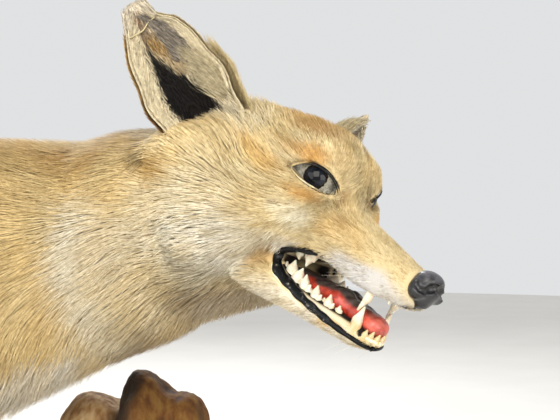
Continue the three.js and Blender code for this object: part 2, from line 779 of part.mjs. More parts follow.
function stumpMesh() {
  const box = [[100, -60, -14], [320, 130, 262]];
  const foxJacket = shaped(grown(coatForm, 4), [60, -90, LEG_CUT - 20], [345, 110, 330], TRUNK_STEP);
  const legJacket = shaped(grown(bodyForm, 4), [40, 0, -20], [190, 100, LEG_CUT], LEG_STEP);
  const stump = shaped(stumpForm(), ...box, [17.5, 17, 17]).subtract(foxJacket).subtract(legJacket);
  return meshOf("stand_stump", ahead(stump, [0, 0, 1], [0, 0, FLOOR - GAP / 2]), WOOD);
}

// ---- The whole mount ----

const fox = new THREE.Group();
fox.position.set(FOX_SHIFT, 0, BOARD.thickness);
fox.add(headGroup(), ...trunkMeshes(), ...tailMeshes(), stumpMesh());
for (const side of Object.keys(SIDES)) fox.add(...foreLegMeshes(side), ...hindLegMeshes(side));

const mount = new THREE.Group();
mount.add(fox, boardMesh());

export default mount;
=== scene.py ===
"""A mounted red fox: its coat, face and stand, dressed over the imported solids.

The animal's outline is one signed-distance form, as its solids are: a function of points, below zero inside.
Forms are in millimetres, in the fox's frame (x ahead, y to its left, z up from the board's top) or the head's
(x along the muzzle from the nose, y left, z up from the lip).  Meshes are in metres, in the object's frame.
"""

import logging
import math
from collections.abc import Callable, Iterable, Sequence
from dataclasses import dataclass, field
from enum import Enum

import bpy
import numpy as np
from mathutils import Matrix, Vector
from mathutils.kdtree import KDTree


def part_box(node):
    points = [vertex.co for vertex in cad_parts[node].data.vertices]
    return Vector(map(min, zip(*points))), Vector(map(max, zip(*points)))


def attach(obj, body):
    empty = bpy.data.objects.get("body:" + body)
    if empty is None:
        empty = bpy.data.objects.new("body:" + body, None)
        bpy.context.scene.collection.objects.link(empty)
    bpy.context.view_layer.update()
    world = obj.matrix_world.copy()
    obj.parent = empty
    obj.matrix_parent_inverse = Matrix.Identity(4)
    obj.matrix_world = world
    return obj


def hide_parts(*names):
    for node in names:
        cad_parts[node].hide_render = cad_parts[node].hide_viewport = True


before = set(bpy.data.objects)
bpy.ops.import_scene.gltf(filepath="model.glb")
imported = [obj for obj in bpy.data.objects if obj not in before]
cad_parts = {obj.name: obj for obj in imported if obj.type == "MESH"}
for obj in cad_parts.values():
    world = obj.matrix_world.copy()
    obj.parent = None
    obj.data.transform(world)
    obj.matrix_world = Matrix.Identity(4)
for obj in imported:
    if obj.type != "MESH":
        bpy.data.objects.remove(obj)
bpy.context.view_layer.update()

log = logging.getLogger("fox")
Array = np.ndarray
Form = Callable[[Array], Array]

MM = 0.001
SIDES = (1.0, -1.0)  # left, right
BODY = "root"
BAKE_MAP = "OFBake"
PAINT = "coat_paint"  # the colour attribute that skin, tufts and tongue share


# ---- Small helpers ----


def linear(code: str) -> Array:
    """A linear colour from an sRGB hex code such as "#d9c49a"."""
    values = np.array([int(code[i : i + 2], 16) for i in (1, 3, 5)]) / 255.0
    return np.where(values <= 0.04045, values / 12.92, ((values + 0.055) / 1.055) ** 2.4)


def socket_colour(code: str) -> tuple[float, float, float, float]:
    """The same colour with full alpha, as a node's socket takes it."""
    return (*linear(code), 1.0)


def smooth(x: Array, low: float, high: float) -> Array:
    """A smooth step of x from 0 at low to 1 at high; low may be the greater."""
    t = np.clip((x - low) / (high - low), 0.0, 1.0)
    return t * t * (3.0 - 2.0 * t)


def unit(v: Array) -> Array:
    """Vectors of length one."""
    return v / np.maximum(np.linalg.norm(v, axis=-1, keepdims=True), 1e-9)


def ripple(p: Array, scale: float, seed: int) -> Array:
    """Soft noise of about -1 to 1 whose lumps are near scale across.

    Args:
        p: Points, one a row.
        scale: Size of a lump in the unit of the points.
        seed: Which noise.

    Returns:
        One value a point.
    """
    rng = np.random.default_rng(seed)
    waves = rng.normal(size=(7, 3))
    phases = rng.uniform(0, 2 * math.pi, 7)
    return np.sin((p / scale * 2.4) @ waves.T + phases).sum(axis=1) / 2.9


def mirrored(p: Array) -> Array:
    """Points moved to the left side, y made positive."""
    return p * [1, 0, 1] + np.abs(p) * [0, 1, 0]


@dataclass(frozen=True)
class Frame:
    """A place with three axes, the columns of a matrix."""

    at: Array
    axes: Array

    def into(self, p: Array) -> Array:
        """Points of the outer frame, in this one."""
        return (p - self.at) @ self.axes

    def out(self, q: Array) -> Array:
        """Points of this frame, in the outer one."""
        return q @ self.axes.T + self.at

    def turn(self, v: Array) -> Array:
        """Directions of this frame, in the outer one."""
        return v @ self.axes.T


def turned(yaw: float, pitch: float, roll: float) -> Array:
    """The axes of a frame turned by yaw, pitch and roll in degrees, about z, y and x."""
    a, b, c = (math.radians(v) for v in (yaw, pitch, roll))
    about_z = np.array([[math.cos(a), -math.sin(a), 0], [math.sin(a), math.cos(a), 0], [0, 0, 1]])
    about_y = np.array([[math.cos(b), 0, math.sin(b)], [0, 1, 0], [-math.sin(b), 0, math.cos(b)]])
    about_x = np.array([[1, 0, 0], [0, math.cos(c), -math.sin(c)], [0, math.sin(c), math.cos(c)]])
    return about_z @ about_y @ about_x


def middle_of(node: str) -> Array:
    """The middle of a solid's box, in millimetres in the object's frame."""
    low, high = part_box(node)
    return (np.array(low) + np.array(high)) / 2 / MM


# The fox's frame in the object's, and the head's in the fox's.
FOX_AT = np.array([-8.0, 0.0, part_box("stand_board")[1].z / MM])
EYE_AT = np.array([-81.5, 16.8, 34.0])
EYE_RADIUS = 8.5
HEAD_AXES = turned(-36.3, 18.5, -15.0)
BETWEEN_EYES = (middle_of("eye_left") + middle_of("eye_right")) / 2 - FOX_AT
HEAD = Frame(BETWEEN_EYES - HEAD_AXES @ (EYE_AT * [1, 0, 1]), HEAD_AXES)


def eye_frame(side: float) -> Frame:
    """An eye's frame in the head's: x to its front corner, y up the lids and z out of the socket."""
    out = np.array([0.53, 0.843, 0.087])
    along = np.array([0.845, -0.515, -0.12])
    along = unit(along - out * (along @ out))
    up = np.cross(along, out)
    axes = np.stack([along, up, out], axis=1) * np.array([[1], [side], [1]])
    return Frame(EYE_AT * [1, side, 1], axes)


# ---- Forms ----


def egg(centre: Sequence[float], radii: Sequence[float], tilt: float = 0.0) -> Form:
    """An ellipsoid with its long axis tipped up by tilt degrees in the xz plane.

    Args:
        centre: Its middle.
        radii: Its half lengths.
        tilt: Degrees.

    Returns:
        Its form.
    """
    c, s = math.cos(math.radians(tilt)), math.sin(math.radians(tilt))
    middle, radii = np.array(centre, float), np.array(radii, float)

    def form(p: Array) -> Array:
        d = p - middle
        local = np.stack([c * d[:, 0] + s * d[:, 2], d[:, 1], c * d[:, 2] - s * d[:, 0]], axis=1)
        near = np.linalg.norm(local / radii, axis=1)
        slope = np.linalg.norm(local / radii**2, axis=1)
        return near * (near - 1) / np.maximum(slope, 1e-6)

    return form


def limb(a: Sequence[float], b: Sequence[float], ra: float, rb: float, wide: float = 1.0) -> Form:
    """A rod from a to b.

    Args:
        a: Its start.
        b: Its end.
        ra: Radius at the start.
        rb: Radius at the end.
        wide: How much its section is widened along y.

    Returns:
        Its form.
    """
    start, line = np.array(a, float), np.array(b, float) - np.array(a, float)

    def form(p: Array) -> Array:
        d = p - start
        h = np.clip(d @ line / (line @ line), 0, 1)
        off = d - h[:, None] * line
        return np.linalg.norm(off * [1, 1 / wide, 1], axis=1) - (ra + (rb - ra) * h)

    return form


def blend(k: float, *forms: Form) -> Form:
    """Forms joined with a fillet about k wide."""

    def form(p: Array) -> Array:
        d = forms[0](p)
        for other in forms[1:]:
            e = other(p)
            h = np.maximum(k - np.abs(d - e), 0) / k
            d = np.minimum(d, e) - h * h * k / 4
        return d

    return form


def carve(k: float, whole: Form, tool: Form) -> Form:
    """whole without tool, with an edge rounded by about k."""

    def form(p: Array) -> Array:
        d, e = whole(p), -tool(p)
        h = np.maximum(k - np.abs(d - e), 0) / k
        return np.maximum(d, e) + h * h * k / 4

    return form


def both(make: Callable[[float], Form]) -> list[Form]:
    """The left and right one of a form."""
    return [make(side) for side in SIDES]


def slope_of(form: Form, p: Array, reach: float = 0.4) -> tuple[Array, Array]:
    """A form's values and outward slopes at points.

    Args:
        form: The form.
        p: Points, one a row.
        reach: Distance over which the slope is taken.

    Returns:
        The values, and one slope vector a point.
    """
    d = form(p)
    return d, np.stack([(form(p + reach * axis) - d) / reach for axis in np.eye(3)], axis=1)


def settled(form: Form, p: Array, level: Array | float = 0.0, rounds: int = 2) -> Array:
    """Points moved along the form's slope to where it has the value level."""
    for _ in range(rounds):
        d, slope = slope_of(form, p)
        steep = np.maximum((slope**2).sum(axis=1), 0.25)
        p = p - slope * np.clip((d - level) / steep, -25, 25)[:, None]
    return p


def outer_hit(form: Form, origin: Array, direction: Array, far: float) -> Array:
    """Where rays that come in from far along direction first meet the form.

    Args:
        form: The form.
        origin: Where each ray ends, one a row.
        direction: Outward unit vectors, one a row.
        far: Start distance from the origins.

    Returns:
        One point a ray.
    """
    t = np.full(len(origin), float(far))
    for _ in range(60):
        t = np.maximum(t - 0.7 * form(origin + direction * t[:, None]), 0.0)
    return origin + direction * t[:, None]


# ---- From a form to a surface ----

BLOCK = 4  # grid points a side of the blocks that are looked at first
CORNERS = [(c & 1, (c >> 1) & 1, c >> 2) for c in range(8)]


def field_of(form: Form, axes: list[Array], step: float) -> Array:
    """A form's values on a grid, exact near its surface and only right in sign elsewhere."""
    middles = [a.reshape(-1, BLOCK).mean(axis=1) for a in axes]
    rough = form(np.stack(np.meshgrid(*middles, indexing="ij"), axis=-1).reshape(-1, 3))
    rough = rough.reshape([len(m) for m in middles])
    values = rough
    for axis in range(3):
        values = values.repeat(BLOCK, axis=axis)
    near = np.argwhere(np.abs(values) < step * BLOCK * 1.9 + 2)
    points = np.stack([axes[n][near[:, n]] for n in range(3)], axis=1)
    values[tuple(near.T)] = form(points)
    return values


def net_of(form: Form, low: Sequence[float], high: Sequence[float], step: float) -> tuple[Array, Array]:
    """The closed surface where a form is zero, as a net with one point in each crossed cell of a grid.

    Args:
        form: The form.
        low: The grid's lowest corner.
        high: Its highest corner.
        step: Its spacing.

    Returns:
        Points, and faces of four corners that turn outward.
    """
    counts = [BLOCK * math.ceil((h - l) / step / BLOCK + 0.5) for l, h in zip(low, high)]
    axes = [l + (np.arange(n) - 0.5) * step for l, n in zip(low, counts)]
    values = field_of(form, axes, step)
    inside = values < 0
    size = np.array(values.shape) - 1
    views = [inside[a : a + size[0], b : b + size[1], c : c + size[2]] for a, b, c in CORNERS]
    filled = sum(v.astype(np.int8) for v in views)
    cells = np.argwhere((filled > 0) & (filled < 8))
    corner = [values[cells[:, 0] + a, cells[:, 1] + b, cells[:, 2] + c] for a, b, c in CORNERS]
    total, hits = np.zeros((len(cells), 3)), np.zeros(len(cells))
    for c in range(8):
        for bit in (1, 2, 4):
            if c & bit:
                continue
            crossed = (corner[c] < 0) != (corner[c | bit] < 0)
            share = np.where(crossed, corner[c] / np.where(crossed, corner[c] - corner[c | bit], 1), 0)
            along = np.array([bit == 1, bit == 2, bit == 4], float)
            total += (np.array(CORNERS[c]) + share[:, None] * along) * crossed[:, None]
            hits += crossed
    points = np.array([a[0] for a in axes]) + (cells + total / hits[:, None]) * step
    number = np.full(values.shape, -1, np.int32)
    number[tuple(cells.T)] = np.arange(len(cells))
    faces = []
    for axis in range(3):
        u, v = (axis + 1) % 3, (axis + 2) % 3
        ahead = np.roll(inside, -1, axis=axis)
        edges = np.argwhere(inside != ahead)
        good = (edges[:, axis] < values.shape[axis] - 1) & (edges[:, u] > 0) & (edges[:, v] > 0)
        edges = edges[good]
        ring = []
        for du, dv in ((-1, -1), (0, -1), (0, 0), (-1, 0)):
            cell = edges.copy()
            cell[:, u] += du
            cell[:, v] += dv
            ring.append(number[tuple(cell.T)])
        quads = np.stack(ring, axis=1)
        outward = inside[tuple(edges.T)]
        faces.append(np.where(outward[:, None], quads, quads[:, ::-1]))
    quads = np.concatenate(faces)
    return settled(form, points, rounds=2), quads[(quads >= 0).all(axis=1)]


# ---- Meshes ----


def mesh_object(name: str, points: Array, faces: Array, frame_of: Frame | None = None) -> bpy.types.Object:
    """A smooth mesh object from arrays.

    Args:
        name: The piece's name.
        points: Corners in millimetres, in the fox's frame or in frame_of.
        faces: Corner numbers, one face a row.
        frame_of: The frame that the points are in, if not the fox's.

    Returns:
        The object, linked to the scene.
    """
    placed = points if frame_of is None else frame_of.out(points)
    mesh = bpy.data.meshes.new(name)
    mesh.vertices.add(len(placed))
    mesh.vertices.foreach_set("co", ((placed + FOX_AT) * MM).astype(np.float32).ravel())
    count, corners = faces.shape
    mesh.loops.add(count * corners)
    mesh.loops.foreach_set("vertex_index", faces.astype(np.int32).ravel())
    mesh.polygons.add(count)
    mesh.polygons.foreach_set("loop_start", np.arange(0, count * corners, corners, dtype=np.int32))
    mesh.update(calc_edges=True)
    mesh.polygons.foreach_set("use_smooth", np.ones(count, bool))
    mesh.validate()
    made = bpy.data.objects.new(name, mesh)
    bpy.context.scene.collection.objects.link(made)
    return made


def read_points(made: bpy.types.Object, what: str = "co") -> Array:
    """An object's corners, or their normals, as an array in metres."""
    values = np.zeros(len(made.data.vertices) * 3, np.float32)
    made.data.vertices.foreach_get(what, values)
    return values.reshape(-1, 3).astype(float)


def write_points(made: bpy.types.Object, points: Array, frame_of: Frame | None = None) -> None:
    """Moves an object's corners to points in millimetres, in the fox's frame or in frame_of."""
    placed = points if frame_of is None else frame_of.out(points)
    made.data.vertices.foreach_set("co", ((placed + FOX_AT) * MM).astype(np.float32).ravel())
    made.data.update()


def paint(made: bpy.types.Object, colours: Array) -> None:
    """Gives every corner of a mesh its own linear colour."""
    layer = made.data.color_attributes.new(PAINT, "FLOAT_COLOR", "POINT")
    rgba = np.ones((len(colours), 4), np.float32)
    rgba[:, :3] = np.clip(colours, 0, 1)
    layer.data.foreach_set("color", rgba.ravel())


def only(made: bpy.types.Object) -> None:
    """Selects one object and nothing else, as the active one."""
    bpy.ops.object.select_all(action="DESELECT")
    made.select_set(True)
    bpy.context.view_layer.objects.active = made


def facing_out(made: bpy.types.Object) -> bpy.types.Object:
    """Turns all faces of a closed mesh outward."""
    only(made)
    bpy.ops.object.mode_set(mode="EDIT")
    bpy.ops.mesh.select_all(action="SELECT")
    bpy.ops.mesh.normals_make_consistent(inside=False)
    bpy.ops.object.mode_set(mode="OBJECT")
    return made


def finish(made: bpy.types.Object, material: bpy.types.Material, slot: str) -> bpy.types.Object:
    """Dresses a piece in its material and lets it ride on the mount."""
    made.data.materials.clear()
    made.data.materials.append(material)
    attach(made, BODY)
    log.info("%s: %d faces", made.name, len(made.data.polygons))
    return made


def sweep(
    path: Array, across: Array, up: Array, half: Array, high: Array, sides: int = 10,
) -> tuple[Array, Array]:
    """A closed rod of oval section along a path.

    Args:
        path: Points along its middle.
        across: Unit vectors across it, one a point.
        up: Unit vectors square to it, one a point.
        half: Half widths along across.
        high: Half heights along up.
        sides: Corners of a section.

    Returns:
        Points, and faces of four corners, with the ends drawn to points.
    """
    turn = np.arange(sides) * 2 * math.pi / sides
    rings = (
        path[:, None]
        + across[:, None] * (half[:, None] * np.cos(turn))[..., None]
        + up[:, None] * (high[:, None] * np.sin(turn))[..., None]
    )
    points = rings.reshape(-1, 3)
    n = np.arange(len(path) - 1)[:, None] * sides
    here, after = np.arange(sides)[None], (np.arange(sides) + 1)[None] % sides
    quads = np.stack([n + here, n + after, n + sides + after, n + sides + here], axis=-1).reshape(-1, 4)
    first, last = len(points), len(points) + 1
    points = np.concatenate([points, path[:1], path[-1:]])
    caps = []
    for i in range(0, sides, 2):
        a, b, c = i, (i + 1) % sides, (i + 2) % sides
        end = (len(path) - 1) * sides
        caps.append([first, c, b, a])
        caps.append([last, end + a, end + b, end + c])
    return points, np.concatenate([quads, np.array(caps)])


def along_path(points: Sequence[Sequence[float]], count: int) -> Array:
    """A smooth line of count points, evenly spaced, through a few given ones."""
    given = np.array(points, float)
    padded = np.concatenate([2 * given[:1] - given[1:2], given, 2 * given[-1:] - given[-2:-1]])
    t = np.linspace(0, len(given) - 1 - 1e-6, 400)
    i, f = t.astype(int), (t % 1)[:, None]
    a, b, c, d = (padded[i + n] for n in range(4))
    line = 0.5 * (2 * b + (c - a) * f + (2 * a - 5 * b + 4 * c - d) * f**2 + (3 * b - a - 3 * c + d) * f**3)
    length = np.concatenate([[0], np.cumsum(np.linalg.norm(np.diff(line, axis=0), axis=1))])
    even = np.linspace(0, length[-1], count)
    return np.stack([np.interp(even, length, line[:, n]) for n in range(3)], axis=1)


# ---- Materials ----


def node(tree: bpy.types.NodeTree, kind: str, inputs: dict | None = None, **settings) -> bpy.types.Node:
    """Adds a node with its settings, values and links.

    Args:
        tree: The material's nodes.
        kind: The node's type.
        inputs: Values, or sockets to link, by the name or number of the input.
        **settings: The node's own properties.

    Returns:
        The node.
    """
    made = tree.nodes.new(kind)
    for key, value in settings.items():
        setattr(made, key, value)
    for key, value in (inputs or {}).items():
        if isinstance(value, bpy.types.NodeSocket):
            tree.links.new(value, made.inputs[key])
        else:
            made.inputs[key].default_value = value
    return made


def ramp(
    tree: bpy.types.NodeTree, value: bpy.types.NodeSocket, *stops: tuple[float, str],
) -> bpy.types.NodeSocket:
    """A colour that runs through stops, each a place and an sRGB hex code, as value grows."""
    made = node(tree, "ShaderNodeValToRGB", {"Fac": value})
    elements = made.color_ramp.elements
    while len(elements) < len(stops):
        elements.new(0.5)
    for element, (place, code) in zip(elements, stops):
        element.position = place
        element.color = socket_colour(code)
    return made.outputs["Color"]


def noise(tree: bpy.types.NodeTree, vector: bpy.types.NodeSocket, size_mm: float, detail: float = 3.0,
          stretch: Sequence[float] = (1, 1, 1)) -> bpy.types.NodeSocket:
    """Noise with lumps of about size_mm, drawn out along each axis by stretch."""
    scale = [1 / (size_mm * MM * s) for s in stretch]
    mapped = node(tree, "ShaderNodeMapping", {"Vector": vector, "Scale": scale})
    made = node(tree, "ShaderNodeTexNoise", {"Vector": mapped.outputs[0], "Scale": 1.0, "Detail": detail})
    return made.outputs[0]


@dataclass(frozen=True)
class Gloss:
    """The numbers of a surface's shine.

    Attributes:
        rough: Roughness.
        ior: Index of refraction.
        specular: Specular level.
        coat: Weight of the clear layer.
        coat_rough: Roughness of that layer.
        sheen: Weight of the soft bloom of fine fibres.
        glow: Weight of light let through near the surface.
    """

    rough: float
    ior: float = 1.5
    specular: float = 0.5
    coat: float = 0.0
    coat_rough: float = 0.1
    sheen: float = 0.0
    glow: float = 0.0


class Finish:
    """A node material, begun with its shader and object coordinates."""

    def __init__(self, name: str, gloss: Gloss) -> None:
        """Starts the material.

        Args:
            name: What it is called.
            gloss: Its shine.
        """
        self.material = bpy.data.materials.new(name)
        self.material.use_nodes = True
        self.tree = self.material.node_tree
        self.tree.nodes.clear()
        self.coords = node(self.tree, "ShaderNodeTexCoord").outputs["Object"]
        values = {
            "Roughness": gloss.rough,
            "IOR": gloss.ior,
            "Specular IOR Level": gloss.specular,
            "Coat Weight": gloss.coat,
            "Coat Roughness": gloss.coat_rough,
            "Sheen Weight": gloss.sheen,
            "Sheen Roughness": 0.4,
            "Subsurface Weight": gloss.glow,
            "Subsurface Scale": 0.004,
        }
        self.shader = node(self.tree, "ShaderNodeBsdfPrincipled", values)
        node(self.tree, "ShaderNodeOutputMaterial", {"Surface": self.shader.outputs[0]})

    def colour(self, socket: bpy.types.NodeSocket) -> "Finish":
        """Links the base colour."""
        self.tree.links.new(socket, self.shader.inputs["Base Color"])
        return self

    def rough(self, socket: bpy.types.NodeSocket, low: float, high: float) -> "Finish":
        """Lets roughness run from low to high as a value runs from 0 to 1."""
        spread = node(self.tree, "ShaderNodeMapRange", {"Value": socket, "To Min": low, "To Max": high})
        self.tree.links.new(spread.outputs[0], self.shader.inputs["Roughness"])
        return self

    def bump(self, socket: bpy.types.NodeSocket, height_mm: float, strength: float = 1.0) -> "Finish":
        """Raises the surface by up to height_mm where a value is 1."""
        values = {"Height": socket, "Distance": height_mm * MM, "Strength": strength}
        made = node(self.tree, "ShaderNodeBump", values)
        self.tree.links.new(made.outputs[0], self.shader.inputs["Normal"])
        return self

    def painted(self) -> bpy.types.NodeSocket:
        """The colour that is painted on the mesh."""
        return node(self.tree, "ShaderNodeAttribute", attribute_name=PAINT).outputs["Color"]

    def mixed(
        self, share: bpy.types.NodeSocket | float, a: bpy.types.NodeSocket, b: bpy.types.NodeSocket | str,
        how: str = "MIX",
    ) -> bpy.types.NodeSocket:
        """Colour a mixed towards b by share."""
        made = node(self.tree, "ShaderNodeMix", data_type="RGBA", blend_type=how)
        for key, value in ((0, share), (6, a), (7, b)):
            if isinstance(value, bpy.types.NodeSocket):
                self.tree.links.new(value, made.inputs[key])
            else:
                made.inputs[key].default_value = socket_colour(value) if isinstance(value, str) else value
        return made.outputs[2]


def fur_finish() -> bpy.types.Material:
    """Dry guard hair: pale keratin with a soft bloom and a faint lengthwise flicker."""
    made = Finish("fox_guard_hair", Gloss(rough=0.6, specular=0.22, sheen=0.03))
    flicker = noise(made.tree, made.coords, 2.2, 2.0)
    shade = ramp(made.tree, flicker, (0.25, "#d2ccc4"), (0.75, "#ffffff"))
    return made.colour(made.mixed(1.0, made.painted(), shade, "MULTIPLY")).material


def hide_finish() -> bpy.types.Material:
    """Tanned hide under the hair: matt, with pores a millimetre apart."""
    made = Finish("tanned_hide", Gloss(rough=0.85, specular=0.2))
    pores = noise(made.tree, made.coords, 1.1, 4.0)
    return made.colour(made.painted()).bump(pores, 0.25, 0.5).material


# ---- The animal's outline ----


class Fox:
    """The forms of the whole animal, out to the tips of its coat, and how deep the coat is."""

    FOOT = {"fore": (107.0, 45.0), "hind": (-204.0, 48.0)}
    STRIDE = {"fore": {1.0: -16.0, -1.0: 10.0}, "hind": {1.0: 34.0, -1.0: -12.0}}
    TAIL = [
        [-238, 0, 350], [-296, 0, 320], [-348, -5, 262],
        [-394, -14, 190], [-436, -28, 128], [-484, -46, 86],
    ]
    CORNER = (-78.8, -9.0)  # x and z of the lips' corners

    def __init__(self) -> None:
        """Builds the forms."""
        self.tail_line = along_path(self.TAIL, 10)
        webs = both(lambda s: limb([-91, 13.5 * s, -11], [-76, 13 * s, -14], 7.5, 6.5))
        self.closed_face = blend(10, self._skull(), self._muzzle(), *webs)
        self.head = blend(9, carve(3, self.closed_face, self.gape), self._jaw())
        self.shut = blend(9, self.closed_face, self._jaw())
        legs = [make(side) for side in SIDES for make in (self._fore_leg, self._hind_leg)]
        self.body = blend(26, self._trunk(), *legs)
        self.toes = blend(3, *[toe for side in SIDES for kind in self.FOOT for toe in self._toes(side, kind)])
        self.outline = blend(20, self._headed, self._tail())

    def _headed(self, p: Array) -> Array:
        """The body with its head, whose fillet is wide at the neck's sides and tight under the throat."""
        q = HEAD.into(p)
        d, e = self.body(p), self.head(q)
        k = 32 - 22 * smooth(q[:, 2], -6, -32) * smooth(q[:, 0], -126, -104) * smooth(np.abs(q[:, 1]), 44, 24)
        h = np.maximum(k - np.abs(d - e), 0) / k
        return np.minimum(d, e) - h * h * k / 4

    def surface(self, p: Array) -> Array:
        """The outline with its toes."""
        d = self.outline(p)
        low = p[:, 2] < 40
        if low.any():
            d[low] = np.minimum(d[low], self.toes(p[low]))
        return d

    def _muzzle(self) -> Form:
        """The muzzle, tapering from the cheekbones to the nose, with its hanging upper lips."""
        bridge = limb([-84, 0, 13], [-13, 0, 6.5], 21, 10.2, 1.12)
        flews = both(lambda s: limb([-80, 18 * s, 2.0], [-24, 8.8 * s, -0.4], 6.8, 5.2))
        return blend(6, bridge, egg([-16, 0, 3.5], [13, 13.5, 8.5]), *flews)

    def _skull(self) -> Form:
        """Skull, cheekbones and cheek ruffs, with brows over the lids."""
        x, y, z = EYE_AT
        skull = blend(
            16,
            egg([-122, 0, 26], [50, 42, 36]),
            egg([-99, 0, 36], [31, 25, 25]),
            limb([-100, 0, -10], [-140, 0, -13], 21, 34),
            *both(lambda s: egg([-101, 24 * s, 13], [30, 18, 20], 8)),
            *both(lambda s: egg([-122, 31 * s, -2], [35, 24, 32])),
            *both(lambda s: egg([-145, 19 * s, 41], [26, 17, 20], -6)),
            *both(lambda s: egg([-139, 38 * s, 20], [18, 15, 18])),
            limb([-140, -36, 11], [-185, -40, -14], 22, 28),
            *both(lambda s: limb([-141, 42 * s, 14], [-152, 57 * s, 19], 13, 8.0)),
        )
        brows = both(lambda s: egg([x - 5, (y - 2.5) * s, z + 10], [12, 9, 8], 20))
        lids = both(lambda s: egg([x, y * s, z], [10.2, 9.2, 8.8]))
        return blend(7, skull, *brows, *lids)

    def _jaw(self) -> Form:
        """The jaw's two bars, the chin and the floor of the mouth."""
        return blend(
            6,
            *both(lambda s: limb([-92, 22 * s, -22], [-28, 7.5 * s, -24.5], 10.5, 5.8)),
            egg([-25, 0, -25], [7.5, 8.5, 5]),
            limb([-92, 0, -27], [-30, 0, -27], 7, 3.6, 2.1),
        )

    def roof(self, x: Array, y: Array) -> Array:
        """The height of the upper lip's edge, which has curled up on the left as it dried."""
        along = np.maximum(x - self.CORNER[0], 0)
        rise = 4.0 * (1 - np.exp(-along)) + 5.0 * (1 - np.exp(-along / 9))
        curl = 3.2 * smooth(y, 2, 8) * smooth(x, -66, -54) * smooth(x, -26, -36)
        return self.CORNER[1] + rise - 4.9 * smooth(x, -57, -33) + curl

    def floor(self, x: Array) -> Array:
        """The height of the lower lip's edge."""
        along = np.maximum(x - self.CORNER[0], 0)
        return self.CORNER[1] - 2.0 * (1 - np.exp(-along / 0.8)) - 13.5 * (1 - np.exp(-along / 25))

    def gape(self, q: Array) -> Array:
        """The wedge between the lips, in front of their corners."""
        x = q[:, 0]
        above = q[:, 2] - self.roof(x, q[:, 1])
        below = self.floor(x) - q[:, 2]
        return np.maximum(np.maximum(above, below), self.CORNER[0] - x)

    def within(self, q: Array) -> Array:
        """How far points between the lips are in from the flanks of the face."""
        flank = np.interp(q[:, 0], (-86, -80, -66, -50, -34, -24, -14), (19.5, 20.5, 20.5, 17.5, 13.4, 11, 9))
        return np.where(self.gape(q) < 1.2, flank - np.abs(q[:, 1]), -9.0)

    def _trunk(self) -> Form:
        """Chest, belly, rump and neck."""
        neck = blend(
            4,
            limb([140, 0, 304], [225, -1, 319.5], 82.5, 62.5, 0.87),
            limb([225, -1, 319.5], [290, -4, 335], 62.5, 48, 0.94),
        )
        barrel = limb([60, 0, 292], [-150, 0, 306], 86, 70, 0.8)
        return blend(12, egg([80, 0, 292], [112, 66, 90]), barrel, egg([-178, 0, 304], [80, 58, 76]), neck)

    def foot(self, side: float, kind: str) -> tuple[float, float]:
        """Where a foot stands."""
        x, y = self.FOOT[kind]
        return x + self.STRIDE[kind][side], y * side

    def _fore_leg(self, side: float) -> Form:
        """Shoulder, forearm, wrist and foot."""
        x, y = self.foot(side, "fore")
        wrist = [x - 9, y, 92]
        return blend(
            12,
            limb([124, 42 * side, 300], [88, 47 * side, 216], 42, 27, 0.85),
            limb([86, 47 * side, 218], wrist, 25, 14.5, 0.9),
            limb(wrist, [x, y, 26], 14.5, 13),
            egg([x + 12, y, 13], [25, 17, 15]),
        )

    def _hind_leg(self, side: float) -> Form:
        """Thigh, shank, hock and foot."""
        x, y = self.foot(side, "hind")
        knee = [-126 + self.STRIDE["hind"][side] * 0.4, 50 * side, 216]
        hock = [x - 18, y, 122]
        return blend(
            12,
            limb([-168, 38 * side, 292], knee, 60, 36, 0.72),
            limb(knee, hock, 34, 15.5, 0.8),
            egg([hock[0] - 6, y, hock[2] + 4], [13, 10.5, 17], 30),
            limb(hock, [x, y, 28], 14.5, 12.5, 0.95),
            egg([x + 15, y, 13], [28, 16, 14]),
        )

    def toe_places(self, side: float, kind: str) -> list[tuple[float, float, float]]:
        """The middles of a foot's four toes."""
        x, y = self.foot(side, kind)
        reach = 29 if kind == "fore" else 35
        return [(x + reach - abs(n) * 5, y + n * 7.4, 9.0) for n in (-1.5, -0.5, 0.5, 1.5)]

    def _toes(self, side: float, kind: str) -> list[Form]:
        """The four toes of a foot."""
        return [egg(place, [13.5, 5.2, 8.6]) for place in self.toe_places(side, kind)]

    def brush(self, t: Array) -> Array:
        """The tail's radius, from root to tip."""
        return 27 + 23 * np.sin(math.pi * t**1.15) - 13 * t**3

    def _tail(self) -> Form:
        """The brush, along its curve."""
        line, radii = self.tail_line, self.brush(np.linspace(0, 1, 10))
        return blend(8, *[limb(line[n], line[n + 1], radii[n], radii[n + 1]) for n in range(9)])

    def tail_share(self, p: Array) -> Array:
        """How far along the tail a point is, from 0 at the root."""
        gaps = np.linalg.norm(p[:, None] - self.tail_line[None], axis=2)
        weight = np.exp(-((gaps / 24) ** 2)) + 1e-12
        return (weight * np.linspace(0, 1, 10)).sum(axis=1) / weight.sum(axis=1)

